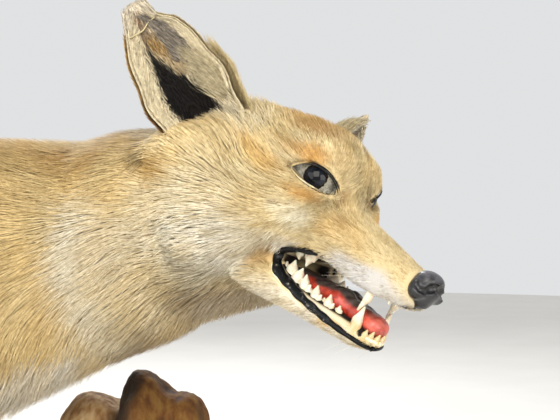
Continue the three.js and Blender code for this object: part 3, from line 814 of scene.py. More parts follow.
    def depth(self, p: Array) -> Array:
        """How deep the coat is at points, from its tips to the skin."""
        q = HEAD.into(p)
        x = q[:, 0]
        face = 0.9 + 1.2 * smooth(x, -22, -60) + 2.6 * smooth(x, -78, -112) + 9 * smooth(x, -104, -152)
        eye_gap = np.linalg.norm(mirrored(q) - EYE_AT, axis=1)
        face *= 1 - 0.9 * smooth(eye_gap, 19, 9)
        face *= 1 - 0.5 * smooth(np.linalg.norm(mirrored(q) - [-149, 51, 22], axis=1), 34, 14)
        trunk = 15 + 3 * smooth(p[:, 2], 290, 220)
        leg = 2.0 + 2.4 * smooth(p[:, 2], 60, 110) + 9.6 * smooth(p[:, 2], 120, 230)
        trunk = trunk + (leg - trunk) * smooth(p[:, 2], 250, 200)
        tail = self.brush(self.tail_share(p)) - 9.5
        trunk = trunk + (tail - trunk) * smooth(p[:, 0], -228, -275) * smooth(p[:, 2], 60, 80)
        behind_ear = smooth(np.linalg.norm(mirrored(q) - [-156, 52, 12], axis=1), 46, 18)
        return (trunk + (face - trunk) * smooth(x, -172, -132)) * (1 - 0.4 * behind_ear)


@dataclass(frozen=True)
class Almond:
    """An eye opening: two arcs over one chord, seen along the eye's own axis.

    Attributes:
        long: Half the chord.
        upper: Height of the upper arc over the chord.
        lower: Depth of the lower one under it.
        shift: The chord's middle, along and up from the eye's centre.
    """

    long: float = 13.9
    upper: float = 8.0
    lower: float = 3.0
    shift: tuple[float, float] = (1.1, -2.1)

    def edge(self, q: Array, side: float) -> tuple[Array, Array]:
        """How far points are outside the opening, and how high over the eye's centre.

        Args:
            q: Points in the head's frame.
            side: Which eye.

        Returns:
            Both distances.
        """
        local = eye_frame(side).into(q)
        u, v = local[:, 0] - self.shift[0], local[:, 1] - self.shift[1]
        above, below = ((self.long**2 + h**2) / (2 * h) for h in (self.upper, self.lower))
        over = np.hypot(u, v + above - self.upper) - above
        under = np.hypot(u, v - below + self.lower) - below
        return np.maximum(over, under), local[:, 2]


ALMOND = Almond()


class Skin:
    """The one closed skin under the coat, with all that the coat needs to know at its corners."""

    STEP = 3.2  # spacing of the net; the head's is halved, and the eyes' and lips' halved again
    FLOOR = 1.2  # the soles' height over the board

    def __init__(self, fox: Fox, markings: "Markings") -> None:
        """Builds the skin.

        Args:
            fox: The animal's outline.
            markings: Its colours.
        """
        self.fox = fox
        self.made = self._net()
        self.points = read_points(self.made) / MM - FOX_AT
        self.normals = read_points(self.made, "normal")
        self.depth = fox.depth(self.points)
        self.lie = self._lie()
        self.bare = self._bare()
        self.colour = markings.at(self.points)
        paint(self.made, markings.hide(self.points, self.colour))
        self._unwrap()

    def form(self, p: Array) -> Array:
        """The skin: the outline less the coat's depth, with the eyes' openings let in."""
        q = HEAD.into(p)
        d = self.fox.outline(p) + self.fox.depth(p)
        near = q[:, 0] > -125
        if near.any():
            d[near] = self._faced(q[near], d[near])
        low = p[:, 2] < 70
        if low.any():
            toes = self.fox.toes(p[low]) + 1.0
            h = np.maximum(4 - np.abs(d[low] - toes), 0) / 4
            d[low] = np.minimum(d[low], toes) - h * h
        return np.maximum(d, self.FLOOR - p[:, 2])

    def _faced(self, q: Array, d: Array) -> Array:
        """The head's small forms: creased brows, whisker pads, eye openings and a seat for the nose."""
        m = mirrored(q)
        swellings = ((-24, 12.5, 4), -0.9), ((-60, 11, 27), 0.6), ((-96, 8, 61), 0.7)
        for centre, height in swellings:
            d = d + height * np.exp(-(((m - centre) / 9) ** 2).sum(axis=1))
        middle = np.exp(-((q[:, 1] / 3.5) ** 2)) * smooth(q[:, 0], -62, -74) * smooth(q[:, 2], 30, 40)
        d = d + 1.1 * middle
        for side in SIDES:
            edge, height = ALMOND.edge(q, side)
            room = np.maximum(edge, 1.6 - height)
            h = np.maximum(1.2 - np.abs(d + room), 0) / 1.2
            d = np.maximum(d, -room) + h * h * 0.3
        return d

    def _net(self) -> bpy.types.Object:
        """The skin's mesh, finest round the eyes and lips."""
        points, faces = net_of(self.form, [-528, -104, -4], [420, 118, 432], self.STEP)
        made = mesh_object("skin", points, faces)
        for pick in (self._on_head, self._on_rims):
            only(made)
            chosen = pick(read_points(made) / MM - FOX_AT)
            corners = [p.vertices for p in made.data.polygons]
            flags = np.array([all(chosen[v] for v in c) for c in corners])
            made.data.vertices.foreach_set("select", np.zeros(len(chosen), bool))
            made.data.edges.foreach_set("select", np.zeros(len(made.data.edges), bool))
            made.data.polygons.foreach_set("select", flags)
            bpy.ops.object.mode_set(mode="EDIT")
            bpy.ops.mesh.select_mode(type="FACE")
            bpy.ops.mesh.subdivide(number_cuts=1, ngon=False, quadcorner="INNERVERT")
            bpy.ops.object.mode_set(mode="OBJECT")
            write_points(made, settled(self.form, read_points(made) / MM - FOX_AT, rounds=3))
        return made

    def _on_head(self, p: Array) -> Array:
        """Which points are on the head."""
        return HEAD.into(p)[:, 0] > -128

    def _on_rims(self, p: Array) -> Array:
        """Which points are round the eyes or at the lips."""
        q = HEAD.into(p)
        eyes = np.linalg.norm(mirrored(q) - EYE_AT - [3, 4, 0], axis=1) < 17
        lips = (np.abs(self.fox.gape(q)) < 3.5) & (q[:, 0] > -92) & (q[:, 0] < -2)
        return eyes | lips

    def _lie(self) -> Array:
        """The way the hair lies, smoothed over the skin."""
        lie = lie_of(self.points, self.fox)
        ends = np.zeros(len(self.made.data.edges) * 2, np.int32)
        self.made.data.edges.foreach_get("vertices", ends)
        a, b = ends.reshape(-1, 2).T
        count = len(self.points)
        degree = np.maximum(np.bincount(a, minlength=count) + np.bincount(b, minlength=count), 1)
        for _ in range(14):
            for n in range(3):
                total = np.bincount(a, lie[b, n], count) + np.bincount(b, lie[a, n], count)
                lie[:, n] = 0.4 * lie[:, n] + 0.6 * total / degree
        lie -= self.normals * (lie * self.normals).sum(axis=1, keepdims=True)
        return unit(lie)

    def _bare(self) -> Array:
        """Which corners carry no hair: mouth, lips, eye openings, the nose's seat and the soles."""
        q = HEAD.into(self.points)
        near = q[:, 0] > -100
        inside = near & (self.fox.closed_face(q) < -self.depth - 1.6) & (self.fox.gape(q) < 2.5)
        inside |= self.fox.within(q) > 1.0
        for side in SIDES:
            edge, height = ALMOND.edge(q, side)
            inside |= (edge < -0.25) & (height > 0)
        inside |= egg([-3.6, 0, 9.3], [7.6, 10.0, 8.0])(q) < 0
        x = q[:, 0]
        over, under = q[:, 2] - self.fox.roof(x, q[:, 1]), self.fox.floor(x) - q[:, 2]
        lips = (over < np.interp(x, (-80, -70, -56), (3.4, 2.8, 1.6))) & (over > -1) & (x < -55)
        lips |= (under < 4.6) & (under > -1) & (x < -50)
        inside |= lips & (x > -83) & (self.fox.closed_face(q) > -6)
        inside |= (self.normals[:, 2] < -0.75) & (self.points[:, 2] < 6)
        return inside

    def _unwrap(self) -> None:
        """Lays the skin out flat, for the coat's own map and for the skin's."""
        only(self.made)
        bpy.ops.object.mode_set(mode="EDIT")
        bpy.ops.mesh.select_all(action="SELECT")
        bpy.ops.uv.smart_project(angle_limit=math.radians(66), island_margin=0.001)
        bpy.ops.object.mode_set(mode="OBJECT")
        self.made.data.uv_layers.active.name = BAKE_MAP


def near_eyes(q: Array) -> Array:
    """1 at the rims of the eyes and 0 away from them, at points of the head's frame."""
    return smooth(np.linalg.norm(mirrored(q) - EYE_AT, axis=1), 17, 12)


def near_ears(q: Array) -> Array:
    """1 at the fronts of the ears' roots and 0 away from them, at points of the head's frame."""
    return np.exp(-((np.linalg.norm((mirrored(q) - [-127, 37, 45]) / [21, 22, 18], axis=1)) ** 2))


def lie_of(p: Array, fox: Fox) -> Array:
    """The way the hair is combed at points, before it is laid along the skin.

    Args:
        p: Points in the fox's frame.
        fox: The animal.

    Returns:
        One vector a point.
    """
    q = HEAD.into(p)
    m = mirrored(q)
    flip = np.where(q[:, 1] < 0, -1.0, 1.0)[:, None] * [0, 1, 0] + [1, 0, 1]
    head = np.zeros_like(p)
    head[:, 0] = -1
    head[:, 1] = 0.25 * smooth(m[:, 0], -60, -110)
    head[:, 2] = 0.25 * smooth(m[:, 2], 30, 60) - 0.45 * smooth(m[:, 2], 24, -8) * smooth(m[:, 0], -8, -50)
    gap = m - EYE_AT - [2, 3, 0]
    spread = np.exp(-((np.linalg.norm(gap, axis=1) / 17) ** 2))[:, None]
    head = head + 1.3 * spread * unit(gap) * [0.4, 1, 1]
    rise = near_ears(m)[:, None]
    head = head * (1 - rise) + rise * np.array([-0.5, 0.62, 0.85])
    head = HEAD.turn(head * flip)

    x, z = p[:, 0], p[:, 2]
    high = (z - 305) / 72
    fall = 0.06 + 1.25 * smooth(high, 0.75, -0.7) * smooth(x, -20, 150) + 0.5 * smooth(high, 0.6, -0.9)
    trunk = np.stack([-np.ones(len(p)), 0.1 * np.sign(p[:, 1]), -fall], axis=1)
    under = smooth(np.abs(p[:, 1]), 26, 8) * smooth(z, 262, 236)
    trunk[:, 2] *= 1 - 0.8 * under
    leg = np.stack([np.full(len(p), -0.22), np.zeros(len(p)), -np.ones(len(p))], axis=1)
    foot = np.array([0.8, 0, -0.75])
    leg = leg + (foot - leg) * smooth(z, 46, 22)[:, None]
    trunk = trunk + (leg - trunk) * smooth(z, 238, 190)[:, None]

    share = fox.tail_share(p)
    ways = np.gradient(fox.tail_line, axis=0)
    stops = np.linspace(0, 1, len(ways))
    tail = unit(np.stack([np.interp(share, stops, ways[:, n]) for n in range(3)], axis=1))
    on_tail = (smooth(x, -215, -265) * smooth(z, 60, 84))[:, None]
    trunk = trunk * (1 - on_tail) + 1.2 * tail * on_tail
    on_head = smooth(q[:, 0], -168, -128)[:, None]
    return unit(trunk) * (1 - on_head) + unit(head) * on_head


# ---- Colours of the coat ----


@dataclass(frozen=True)
class Patch:
    """A soft patch of colour, the same on both sides.

    Attributes:
        at: Its middle, on the left side.
        radii: Its half lengths.
        colour: Its sRGB hex code.
        strength: How far it covers what is under it.
        core: Share of its size that is full colour.
        right_only: Whether it is on the fox's right side alone.
    """

    at: tuple[float, float, float]
    radii: tuple[float, float, float]
    colour: str
    strength: float = 1.0
    core: float = 0.35
    right_only: bool = False

    def over(self, base: Array, p: Array) -> Array:
        """base with this patch laid over it at points p."""
        q = p * [1, -1, 1] if self.right_only else mirrored(p)
        off = np.linalg.norm((q - self.at) / self.radii, axis=1)
        weight = self.strength * smooth(off, 1.0, self.core)[:, None]
        return base + (linear(self.colour) - base) * weight


class Markings:
    """The fox's colours as a function of place, in the skin and the coat alike."""

    HEAD_BASE = "#dfca9a"
    FACE = (
        Patch((-128, 30, -8), (48, 34, 40), "#e5dcc2", 0.95, 0.45),
        # Grey-brown under the jaw: painted shade on the underside.
        Patch((-120, 0, -46), (46, 40, 22), "#b3a389", 0.9, 0.45),
        Patch((-104, 36, -12), (30, 24, 22), "#ebe4d0", 0.85, 0.4),
        Patch((-62, 26, -3), (40, 18, 10), "#e2dccd", 0.9),
        Patch((-30, 14, 1), (34, 14, 11), "#d0cdc9", 0.95, 0.45),
        Patch((-14, 6, -3), (18, 14, 9), "#dcd8cf", 0.9),
        Patch((-60, 18, -30), (56, 26, 14), "#ebe3cf", 0.9, 0.5),
        Patch((-58, 0, 27), (38, 16, 13), "#f3dba6", 0.85),
        Patch((-54, 15, 17), (22, 10, 9), "#e3c184", 0.6),
        Patch((-74, 29, 14), (24, 13, 9), "#f0e6c8", 0.8),
        Patch((-80, 24, 25.5), (24, 11, 5), "#dca552", 0.75, 0.2),
        Patch((-74, 12, 46), (14, 12, 10), "#efd6a2", 0.8),
        Patch((-84, 25, 42), (22, 10, 7), "#cf9744", 0.75, 0.2),
        Patch((-102, 36, 33), (26, 13, 7), "#d6aa5c", 0.7, 0.2),
        Patch((-98, 12, 56), (20, 17, 10), "#c2945a", 0.65),
        Patch((-112, 0, 58), (28, 32, 15), "#bd9b62", 0.75),
        Patch((-66, 10, 29), (8, 5, 6), "#a67c46", 0.65, 0.2),
        Patch((-57, 13, 22), (7, 4, 5), "#9c7544", 0.45, 0.2),
        Patch((-128, 30, 44), (22, 18, 14), "#dfd3b4", 0.7),
        Patch((-150, 62, 6), (24, 26, 12), "#9c7833", 0.9),
        Patch((-28, 15.5, 2), (3.4, 3, 2.2), "#a98f70", 0.55, 0.1),
        Patch((-37, 16.5, -1), (2.4, 3, 1.6), "#a98f70", 0.45, 0.1),
        # Two dark lines in the right cheek's crease: painted shade in that fold.
        Patch((-104, 40, -12), (8, 5, 2.0), "#8e7a5c", 0.55, 0.1, True),
        Patch((-96, 47.5, -5.5), (5, 6, 1.4), "#3c2f22", 0.9, 0.2, True),
        Patch((-37, 14.5, -25.8), (11, 6, 3.0), "#d9a741", 0.85, 0.3, True),
        Patch((-85, 24, -12), (6, 10, 14), "#dcb679", 0.75),
        Patch((-7, 4, -2.5), (5, 5, 3.5), "#2a211b", 0.9, 0.3),
    )
    BODY_BASE = "#d5bc86"
    TRUNK = (
        Patch((-60, 0, 385), (330, 74, 62), "#d5ae6c", 0.9, 0.4),
        Patch((222, 30, 388), (62, 52, 34), "#b98f49", 0.85),
        Patch((60, 70, 330), (70, 40, 50), "#c9a05c", 0.6),
        Patch((262, 48, 296), (62, 50, 66), "#dbd3bd", 0.95, 0.5),
        Patch((188, 26, 252), (84, 52, 34), "#e3dccb", 0.9, 0.4),
        Patch((40, 0, 226), (110, 46, 34), "#dcd3bf", 0.9, 0.4),
        # Brown-grey under the throat: painted shade on the underside.
        Patch((274, 0, 272), (54, 44, 28), "#94806a", 0.9, 0.6),
        Patch((0, 0, 214), (190, 46, 34), "#e2d9c4", 0.9, 0.5),
        Patch((150, 60, 262), (50, 40, 40), "#d6bc8a", 0.5),
        Patch((-170, 52, 250), (70, 30, 50), "#cda970", 0.6),
    )
    STOCKING = "#35291f"
    TAIL_TIP = "#e9e3d4"
    TAIL_DARK = "#8d6f48"
    MOUTH = "#1b1310"

    def __init__(self, fox: Fox) -> None:
        """Takes the animal whose places these are."""
        self.fox = fox

    def at(self, p: Array) -> Array:
        """The coat's linear colours at points in the fox's frame."""
        q = HEAD.into(p)
        wander = np.stack([ripple(p, 17, seed) for seed in (3, 4, 5)], axis=1)
        body = np.tile(linear(self.BODY_BASE), (len(p), 1))
        for patch in self.TRUNK:
            body = patch.over(body, p + 7 * wander)
        body = self._points(body, p + 4 * wander)
        face = np.tile(linear(self.HEAD_BASE), (len(p), 1))
        for patch in self.FACE:
            face = patch.over(face, q + 1.2 * wander)
        on_head = smooth(q[:, 0] + 5 * wander[:, 0], -170, -135) * smooth(p[:, 2], 215, 250)
        return body + (face - body) * on_head[:, None]

    def _points(self, body: Array, p: Array) -> Array:
        """body with the dark legs and feet and the tail's dark guard hair and white tip."""
        z = p[:, 2]
        aside = np.maximum(smooth(np.abs(p[:, 1]), 10, 22), smooth(z, 120, 96) * smooth(p[:, 0], -256, -240))
        dark = smooth(z, 178, 96) * aside
        body = body + (linear(self.STOCKING) - body) * (0.92 * dark)[:, None]
        share = self.fox.tail_share(p)
        on_tail = smooth(p[:, 0], -250, -292) * smooth(z, 56, 76)
        shade = on_tail * smooth(share, 0.12, 0.5) * smooth(share, 0.9, 0.72) * 0.6
        body = body + (linear(self.TAIL_DARK) - body) * shade[:, None]
        tip = on_tail * smooth(share, 0.78, 0.9)
        return body + (linear(self.TAIL_TIP) - body) * tip[:, None]

    def hide(self, p: Array, coat: Array) -> Array:
        """The skin's linear colours: the coat's own, darkened as painted shade under the hair, and near black
        inside the mouth.
        """
        q = HEAD.into(p)
        depth = self.fox.depth(p)
        inner = smooth(self.fox.closed_face(q) + depth, -0.3, -1.8)
        inner = inner * smooth(self.fox.gape(q) - depth, 1.6, 0.4)
        inner = np.maximum(inner, smooth(self.fox.within(q), 0.5, 1.5)) * (q[:, 0] > -100)
        # 0.8 of the coat's colour is painted shade under the hair.
        return coat * 0.8 * (1 - inner[:, None]) + linear(self.MOUTH) * inner[:, None]


# ---- The coat ----


class Cut(Enum):
    """How finely a tuft is shaped: for each ring, its place from root to tip and its share of the width."""

    SPIKE = ((0.0, 1.0),)
    BENT = ((0.0, 0.7), (0.42, 1.0))


@dataclass
class Tufts:
    """Tufts that are about to become one mesh.

    Attributes:
        spine: Middles of the rings and the tips, each with one row a tuft.
        side: Unit vectors across the tufts.
        up: Unit vectors out of the coat.
        width: Widths in millimetres.
        colour: Linear colours.
        spot: Places on the skin's flat map.
        cut: How they are shaped.
        soft: Whether they are shaded as part of the coat under them, and not each as a lock of its own.
    """

    spine: list[Array]
    side: Array
    up: Array
    width: Array
    colour: Array
    spot: Array
    cut: Cut
    soft: bool = True

    # Painted shade down through the coat: tufts darker at the roots, a little lighter at the tips.
    COAT_DEPTH_SHADE = (0.82, 0.98, 1.06)  # of root, middle and tip
    ROUND = 0.5  # how far the shading turns across a tuft
    THICK = 0.42  # of the width
    PATCH = 0.003  # size of a tuft's place on the flat map

    def mesh(self, name: str) -> bpy.types.Object:
        """Makes the tufts one mesh of closed, tapered, three-sided locks.

        Args:
            name: The piece's name.

        Returns:
            The object.
        """
        rings = self.cut.value
        count, corners = len(self.width), 3 * len(rings) + 1
        points = np.zeros((count, corners, 3))
        shade = np.zeros((count, corners))
        spots = np.zeros((count, corners, 2))
        for r, (place, share) in enumerate(rings):
            half = (self.width * share / 2)[:, None]
            middle = self.spine[r]
            points[:, 3 * r] = middle + self.side * half
            points[:, 3 * r + 1] = middle + self.up * half * 2 * self.THICK
            points[:, 3 * r + 2] = middle - self.side * half
            shade[:, 3 * r : 3 * r + 3] = np.interp(place, (0, 0.42, 1), self.COAT_DEPTH_SHADE)
            spots[:, 3 * r : 3 * r + 3, 0] = (np.array([1, 0, -1]) * share * self.PATCH / 2)[None]
            spots[:, 3 * r : 3 * r + 3, 1] = place * self.PATCH
        points[:, -1] = self.spine[-1]
        shade[:, -1] = self.COAT_DEPTH_SHADE[-1]
        spots[:, -1, 1] = self.PATCH
        faces = [[0, 2, 1]]
        for r in range(len(rings) - 1):
            for n in range(3):
                a, b = 3 * r + n, 3 * r + (n + 1) % 3
                faces += [[a, b, b + 3], [a, b + 3, a + 3]]
        top = 3 * len(rings)
        faces += [[top - 3 + n, top - 3 + (n + 1) % 3, top] for n in range(3)]
        every = (np.array(faces)[None] + np.arange(count)[:, None, None] * corners).reshape(-1, 3)
        made = mesh_object(name, points.reshape(-1, 3), every)
        # Each corner's colour times its share from root to tip: painted shade inside the coat.
        paint(made, (self.colour[:, None] * shade[..., None]).reshape(-1, 3))
        if self.soft:
            normals = np.repeat(self.up[:, None], corners, axis=1)
            normals[:, 0 : 3 * len(rings) : 3] += self.ROUND * self.side[:, None]
            normals[:, 2 : 3 * len(rings) : 3] -= self.ROUND * self.side[:, None]
            made.data.normals_split_custom_set_from_vertices(unit(normals.reshape(-1, 3)).tolist())
        layer = made.data.uv_layers.new(name=BAKE_MAP)
        flat = (self.spot[:, None] + spots).reshape(-1, 2)
        layer.data.foreach_set("uv", flat[every.ravel()].astype(np.float32).ravel())
        return made


@dataclass(frozen=True)
class Growth:
    """One stretch of the coat.

    Attributes:
        name: Its pieces' name.
        slot: A slot's name, handed on to finish(), which does not use it.
        density: Tufts to a square centimetre.
        where: Share of that density at points in the fox's frame.
        cut: How its tufts are shaped.
        clump: How far tips lean together into locks.
    """

    name: str
    slot: str
    density: float
    where: Callable[[Array], Array]
    cut: Cut
    clump: float


def head_x(p: Array) -> Array:
    """How far ahead points are in the head's frame."""
    return HEAD.into(p)[:, 0]


def hanging(p: Array) -> Array:
    """1 on the keel of the chest, where the hair hangs free, and 0 away from it."""
    return smooth(p[:, 2], 278, 252) * smooth(p[:, 0], 120, 150) * smooth(p[:, 0], 262, 236)


def on_legs(p: Array) -> Array:
    """1 on the free legs and feet, 0 on the trunk."""
    return smooth(p[:, 2], 214, 202) * (p[:, 0] > -262)


def on_tail(p: Array) -> Array:
    """1 on the tail, 0 ahead of it."""
    return smooth(p[:, 0], -246, -254) * (p[:, 2] > 66)


def on_neck(p: Array) -> Array:
    """1 on the neck and the back of the head."""
    return smooth(p[:, 0], 150, 158) * smooth(head_x(p), -104, -108)


def on_trunk(p: Array) -> Array:
    """1 on the trunk between neck and tail."""
    return smooth(p[:, 0], 158, 150) * (1 - on_legs(p)) * (1 - on_tail(p))


GROWTHS = (
    Growth("coat_face", "coat", 150, lambda p: smooth(head_x(p), -84, -80), Cut.SPIKE, 0.1),
    Growth("coat_brow", "coat", 105, lambda p: smooth(head_x(p), -80, -84) * smooth(head_x(p), -108, -104),
           Cut.SPIKE, 0.2),
    Growth("coat_neck", "coat", 74, on_neck, Cut.BENT, 0.25),
    Growth("coat_shoulder", "coat", 50, lambda p: on_trunk(p) * smooth(p[:, 0], 16, 24), Cut.BENT, 0.35),
    Growth("coat_back", "coat", 16.5, lambda p: on_trunk(p) * smooth(p[:, 0], 24, 16), Cut.BENT, 0.35),
    Growth("coat_legs", "coat", 46, lambda p: on_legs(p) * smooth(p[:, 2], 58, 64), Cut.SPIKE, 0.2),
    Growth("coat_feet", "dark_coat", 80, lambda p: on_legs(p) * smooth(p[:, 2], 64, 58), Cut.SPIKE, 0.1),
    Growth("coat_tail", "coat", 20, on_tail, Cut.BENT, 0.4),
)


def hair_at(p: Array, fox: Fox) -> tuple[Array, Array]:
    """The lengths and widths of tufts at points, in millimetres.

    Args:
        p: Points in the fox's frame.
        fox: The animal.

    Returns:
        Lengths and widths.
    """
    x = head_x(p)
    head = np.interp(-x, (10, 60, 90, 112, 135, 165), (3.0, 4.4, 6.5, 9.5, 18, 32))
    under = smooth(p[:, 2], 250, 225) * smooth(p[:, 0], -220, -180)
    trunk = 31 + 9 * under
    leg = np.interp(p[:, 2], (20, 50, 100, 150, 210, 235), (5, 6.5, 9, 15, 25, 31))
    trunk = np.where(p[:, 2] < 235, np.minimum(trunk, np.maximum(leg, 34 * under)), trunk)
    tail = smooth(p[:, 0], -235, -285) * (p[:, 2] > 66)
    brush = np.minimum(52, 20 + 300 * (1 - fox.tail_share(p)))
    trunk = trunk + (brush - trunk) * tail
    length = trunk + (head - trunk) * smooth(x, -168, -150) + 4 * near_ears(HEAD.into(p))
    wide = np.interp(-x, (20, 80, 110, 150), (0.42, 0.5, 0.58, 0.76))
    body = np.interp(p[:, 0], (-280, -200, 0, 60, 150), (1.9, 1.7, 1.6, 1.0, 0.8))
    body = np.where(p[:, 2] < 214, np.minimum(body, 0.95), body)
    length = length * (1 - 0.45 * near_eyes(HEAD.into(p)))
    return length, body + (wide - body) * smooth(x, -168, -150)


class Coat:
    """The hair of the whole animal, grown from the skin."""

    MOST = 195_000  # triangles a piece

    def __init__(self, skin: Skin, markings: Markings, material: bpy.types.Material) -> None:
        """Reads the skin's triangles.

        Args:
            skin: What the hair grows from.
            markings: Its colours.
            material: Its finish.
        """
        self.skin, self.markings, self.material = skin, markings, material
        mesh = skin.made.data
        mesh.calc_loop_triangles()
        count = len(mesh.loop_triangles)
        self.corners = self._read(mesh.loop_triangles, "vertices", count * 3).reshape(-1, 3)
        loops = self._read(mesh.loop_triangles, "loops", count * 3).reshape(-1, 3)
        flat = np.zeros(len(mesh.loops) * 2, np.float32)
        mesh.uv_layers[BAKE_MAP].data.foreach_get("uv", flat)
        self.flat = flat.reshape(-1, 2)[loops]
        a, b, c = (skin.points[self.corners[:, n]] for n in range(3))
        self.area = np.linalg.norm(np.cross(b - a, c - a), axis=1) / 2
        self.middle = (a + b + c) / 3
        self.hairy = ~skin.bare[self.corners].any(axis=1)

    @staticmethod
    def _read(items: Iterable, what: str, count: int) -> Array:
        """Numbers read from a collection of a mesh."""
        values = np.zeros(count, np.int32)
        items.foreach_get(what, values)
        return values

    def grow(self, growth: Growth, seed: int) -> None:
        """Grows one stretch of the coat, in as many pieces as it needs.

        Args:
            growth: What is grown.
            seed: Of its random draws.
        """
        rng = np.random.default_rng(seed)
        dense = 1 + 3 * near_eyes(HEAD.into(self.middle))
        weight = self.area * self.hairy * growth.where(self.middle) * dense * growth.density / 100
        count = int(weight.sum())
        steps = np.cumsum(weight)
        draws = (np.arange(count) + rng.uniform(0, 1, count)) / count * steps[-1]
        triangle = np.minimum(np.searchsorted(steps, draws), len(steps) - 1)
        share = rng.dirichlet((1, 1, 1), count)
        tufts = self._tufts(growth, triangle, share, rng)
        faces = 6 * len(growth.cut.value) - 2
        pieces = math.ceil(count * faces / self.MOST)
        order = np.argsort(self.middle[triangle, 0], kind="stable")
        for n, chosen in enumerate(np.array_split(order, pieces)):
            part = Tufts(
                [s[chosen] for s in tufts.spine], tufts.side[chosen], tufts.up[chosen], tufts.width[chosen],
                tufts.colour[chosen], tufts.spot[chosen], tufts.cut,
            )
            name = growth.name if pieces == 1 else f"{growth.name}_{n + 1}"
            finish(part.mesh(name), self.material, growth.slot)

    def _tufts(self, growth: Growth, triangle: Array, share: Array, rng: np.random.Generator) -> Tufts:
        """The tufts at drawn places: their spines follow the body between skin and outline."""
        fox, corners = self.skin.fox, self.corners[triangle]

        def mean(values: Array) -> Array:
            return (values[corners] * share[..., None]).sum(axis=1)

        root, up, lie = mean(self.skin.points), unit(mean(self.skin.normals)), unit(mean(self.skin.lie))
        spot = (self.flat[triangle] * share[..., None]).sum(axis=1)
        count = len(root)
        depth = fox.depth(root)
        length, width = hair_at(root, fox)
        length = length * rng.uniform(0.75, 1.12, count)
        width = width * rng.uniform(0.7, 1.25, count)
        sway = 0.16 * rng.normal(size=count) + 0.14 * ripple(root, 26, 11) + 0.1 * ripple(root, 9, 12)
        across = np.cross(up, lie)
        lie = unit(lie + across * sway[:, None])
        stand = 3 * near_ears(HEAD.into(root)) * rng.uniform(0.2, 1, count)
        spine = []
        for place, _ in growth.cut.value[1:]:
            level = -depth * (1 - place) ** 1.7 - 0.1 + stand * place * 0.7
            reached = root + lie * (length * place)[:, None]
            spine.append(self._laid(reached, level, depth))
        loose = rng.beta(1.3, 3.5, count)
        stand = stand + 9 * hanging(root) * rng.uniform(0, 1, count) ** 2
        tip = self._laid(root + lie * length[:, None], stand + depth * (0.05 - 0.3 * loose), depth)
        tip, group = self._clumped(root, tip, growth.clump, rng)
        spine = [root - up * 0.5, *spine, tip]
        colour = self._tinted(root, lie, length, group, rng)
        flow = unit(tip - root)
        side = unit(np.cross(up, flow))
        return Tufts(spine, side, unit(np.cross(flow, side)), width, colour, spot, growth.cut)

    def _laid(self, p: Array, level: Array, depth: Array) -> Array:
        """Points moved to a level of the outline, but not into the mouth nor far beyond the coat's depth."""
        moved = settled(self.skin.fox.surface, p, level, rounds=1) - p
        far = np.linalg.norm(moved, axis=1)
        limit = depth * 1.1 + 3
        share = np.minimum(1, limit / np.maximum(far, 1e-6))
        q = HEAD.into(p)
        lip = smooth(self.skin.fox.gape(q), 2.5, 0.0) * (q[:, 0] > -92) * (q[:, 0] < 0)
        return p + moved * (share * (1 - lip))[:, None]

    @staticmethod
    def _clumped(root: Array, tip: Array, lean: float, rng: np.random.Generator) -> tuple[Array, Array]:
        """Tips leaned towards those of a few leaders, and each tuft's leader."""
        leaders = rng.choice(len(root), max(1, len(root) // 14), replace=False)
        tree = KDTree(len(leaders))
        for n, place in enumerate(root[leaders]):
            tree.insert(place, n)
        tree.balance()
        group = np.array([tree.find(place)[1] for place in root])
        lead = leaders[group]
        goal = tip[lead] + 0.35 * (root - root[lead])
        return tip + (goal - tip) * (lean * rng.uniform(0.3, 1.0, len(root)))[:, None], group

    @staticmethod
    def _streaks(root: Array, lie: Array, reach: Array, rng: np.random.Generator) -> Array:
        """Random values that run on from tuft to tuft along the lie, as long streaks do."""
        tree = KDTree(len(root))
        for n, place in enumerate(root):
            tree.insert(place, n)
        tree.balance()
        after = np.array([tree.find(place)[1] for place in root + lie * (0.45 * reach)[:, None]])
        value = rng.normal(size=len(root))
        total, at = value.copy(), np.arange(len(root))
        for _ in range(5):
            at = after[at]
            total += value[at]
        return total / math.sqrt(6)

    def _tinted(self, root: Array, lie: Array, reach: Array, group: Array, rng: np.random.Generator) -> Array:
        """The tufts' colours: the markings, in streaks that are darker, warmer or paler here and there."""
        colour = self.markings.at(root)
        count = len(root)
        streak = self._streaks(root, lie, reach, rng)[:, None]
        lock = rng.normal(size=group.max() + 1)[group][:, None]
        light = 1 + streak * np.array([0.10, 0.12, 0.17]) + 0.04 * lock + 0.05 * rng.normal(size=(count, 1))
        colour = colour * np.clip(light, 0.5, 1.5)
        warm = np.clip(0.6 * ripple(root, 15, 21), -1, 1)[:, None]
        colour = colour * (1 + warm * np.array([0.03, -0.01, -0.09]))
        dark = (rng.uniform(size=count) < 0.03)[:, None]
        return np.where(dark, colour * np.array([0.62, 0.55, 0.46]), colour)


# ---- Ears ----


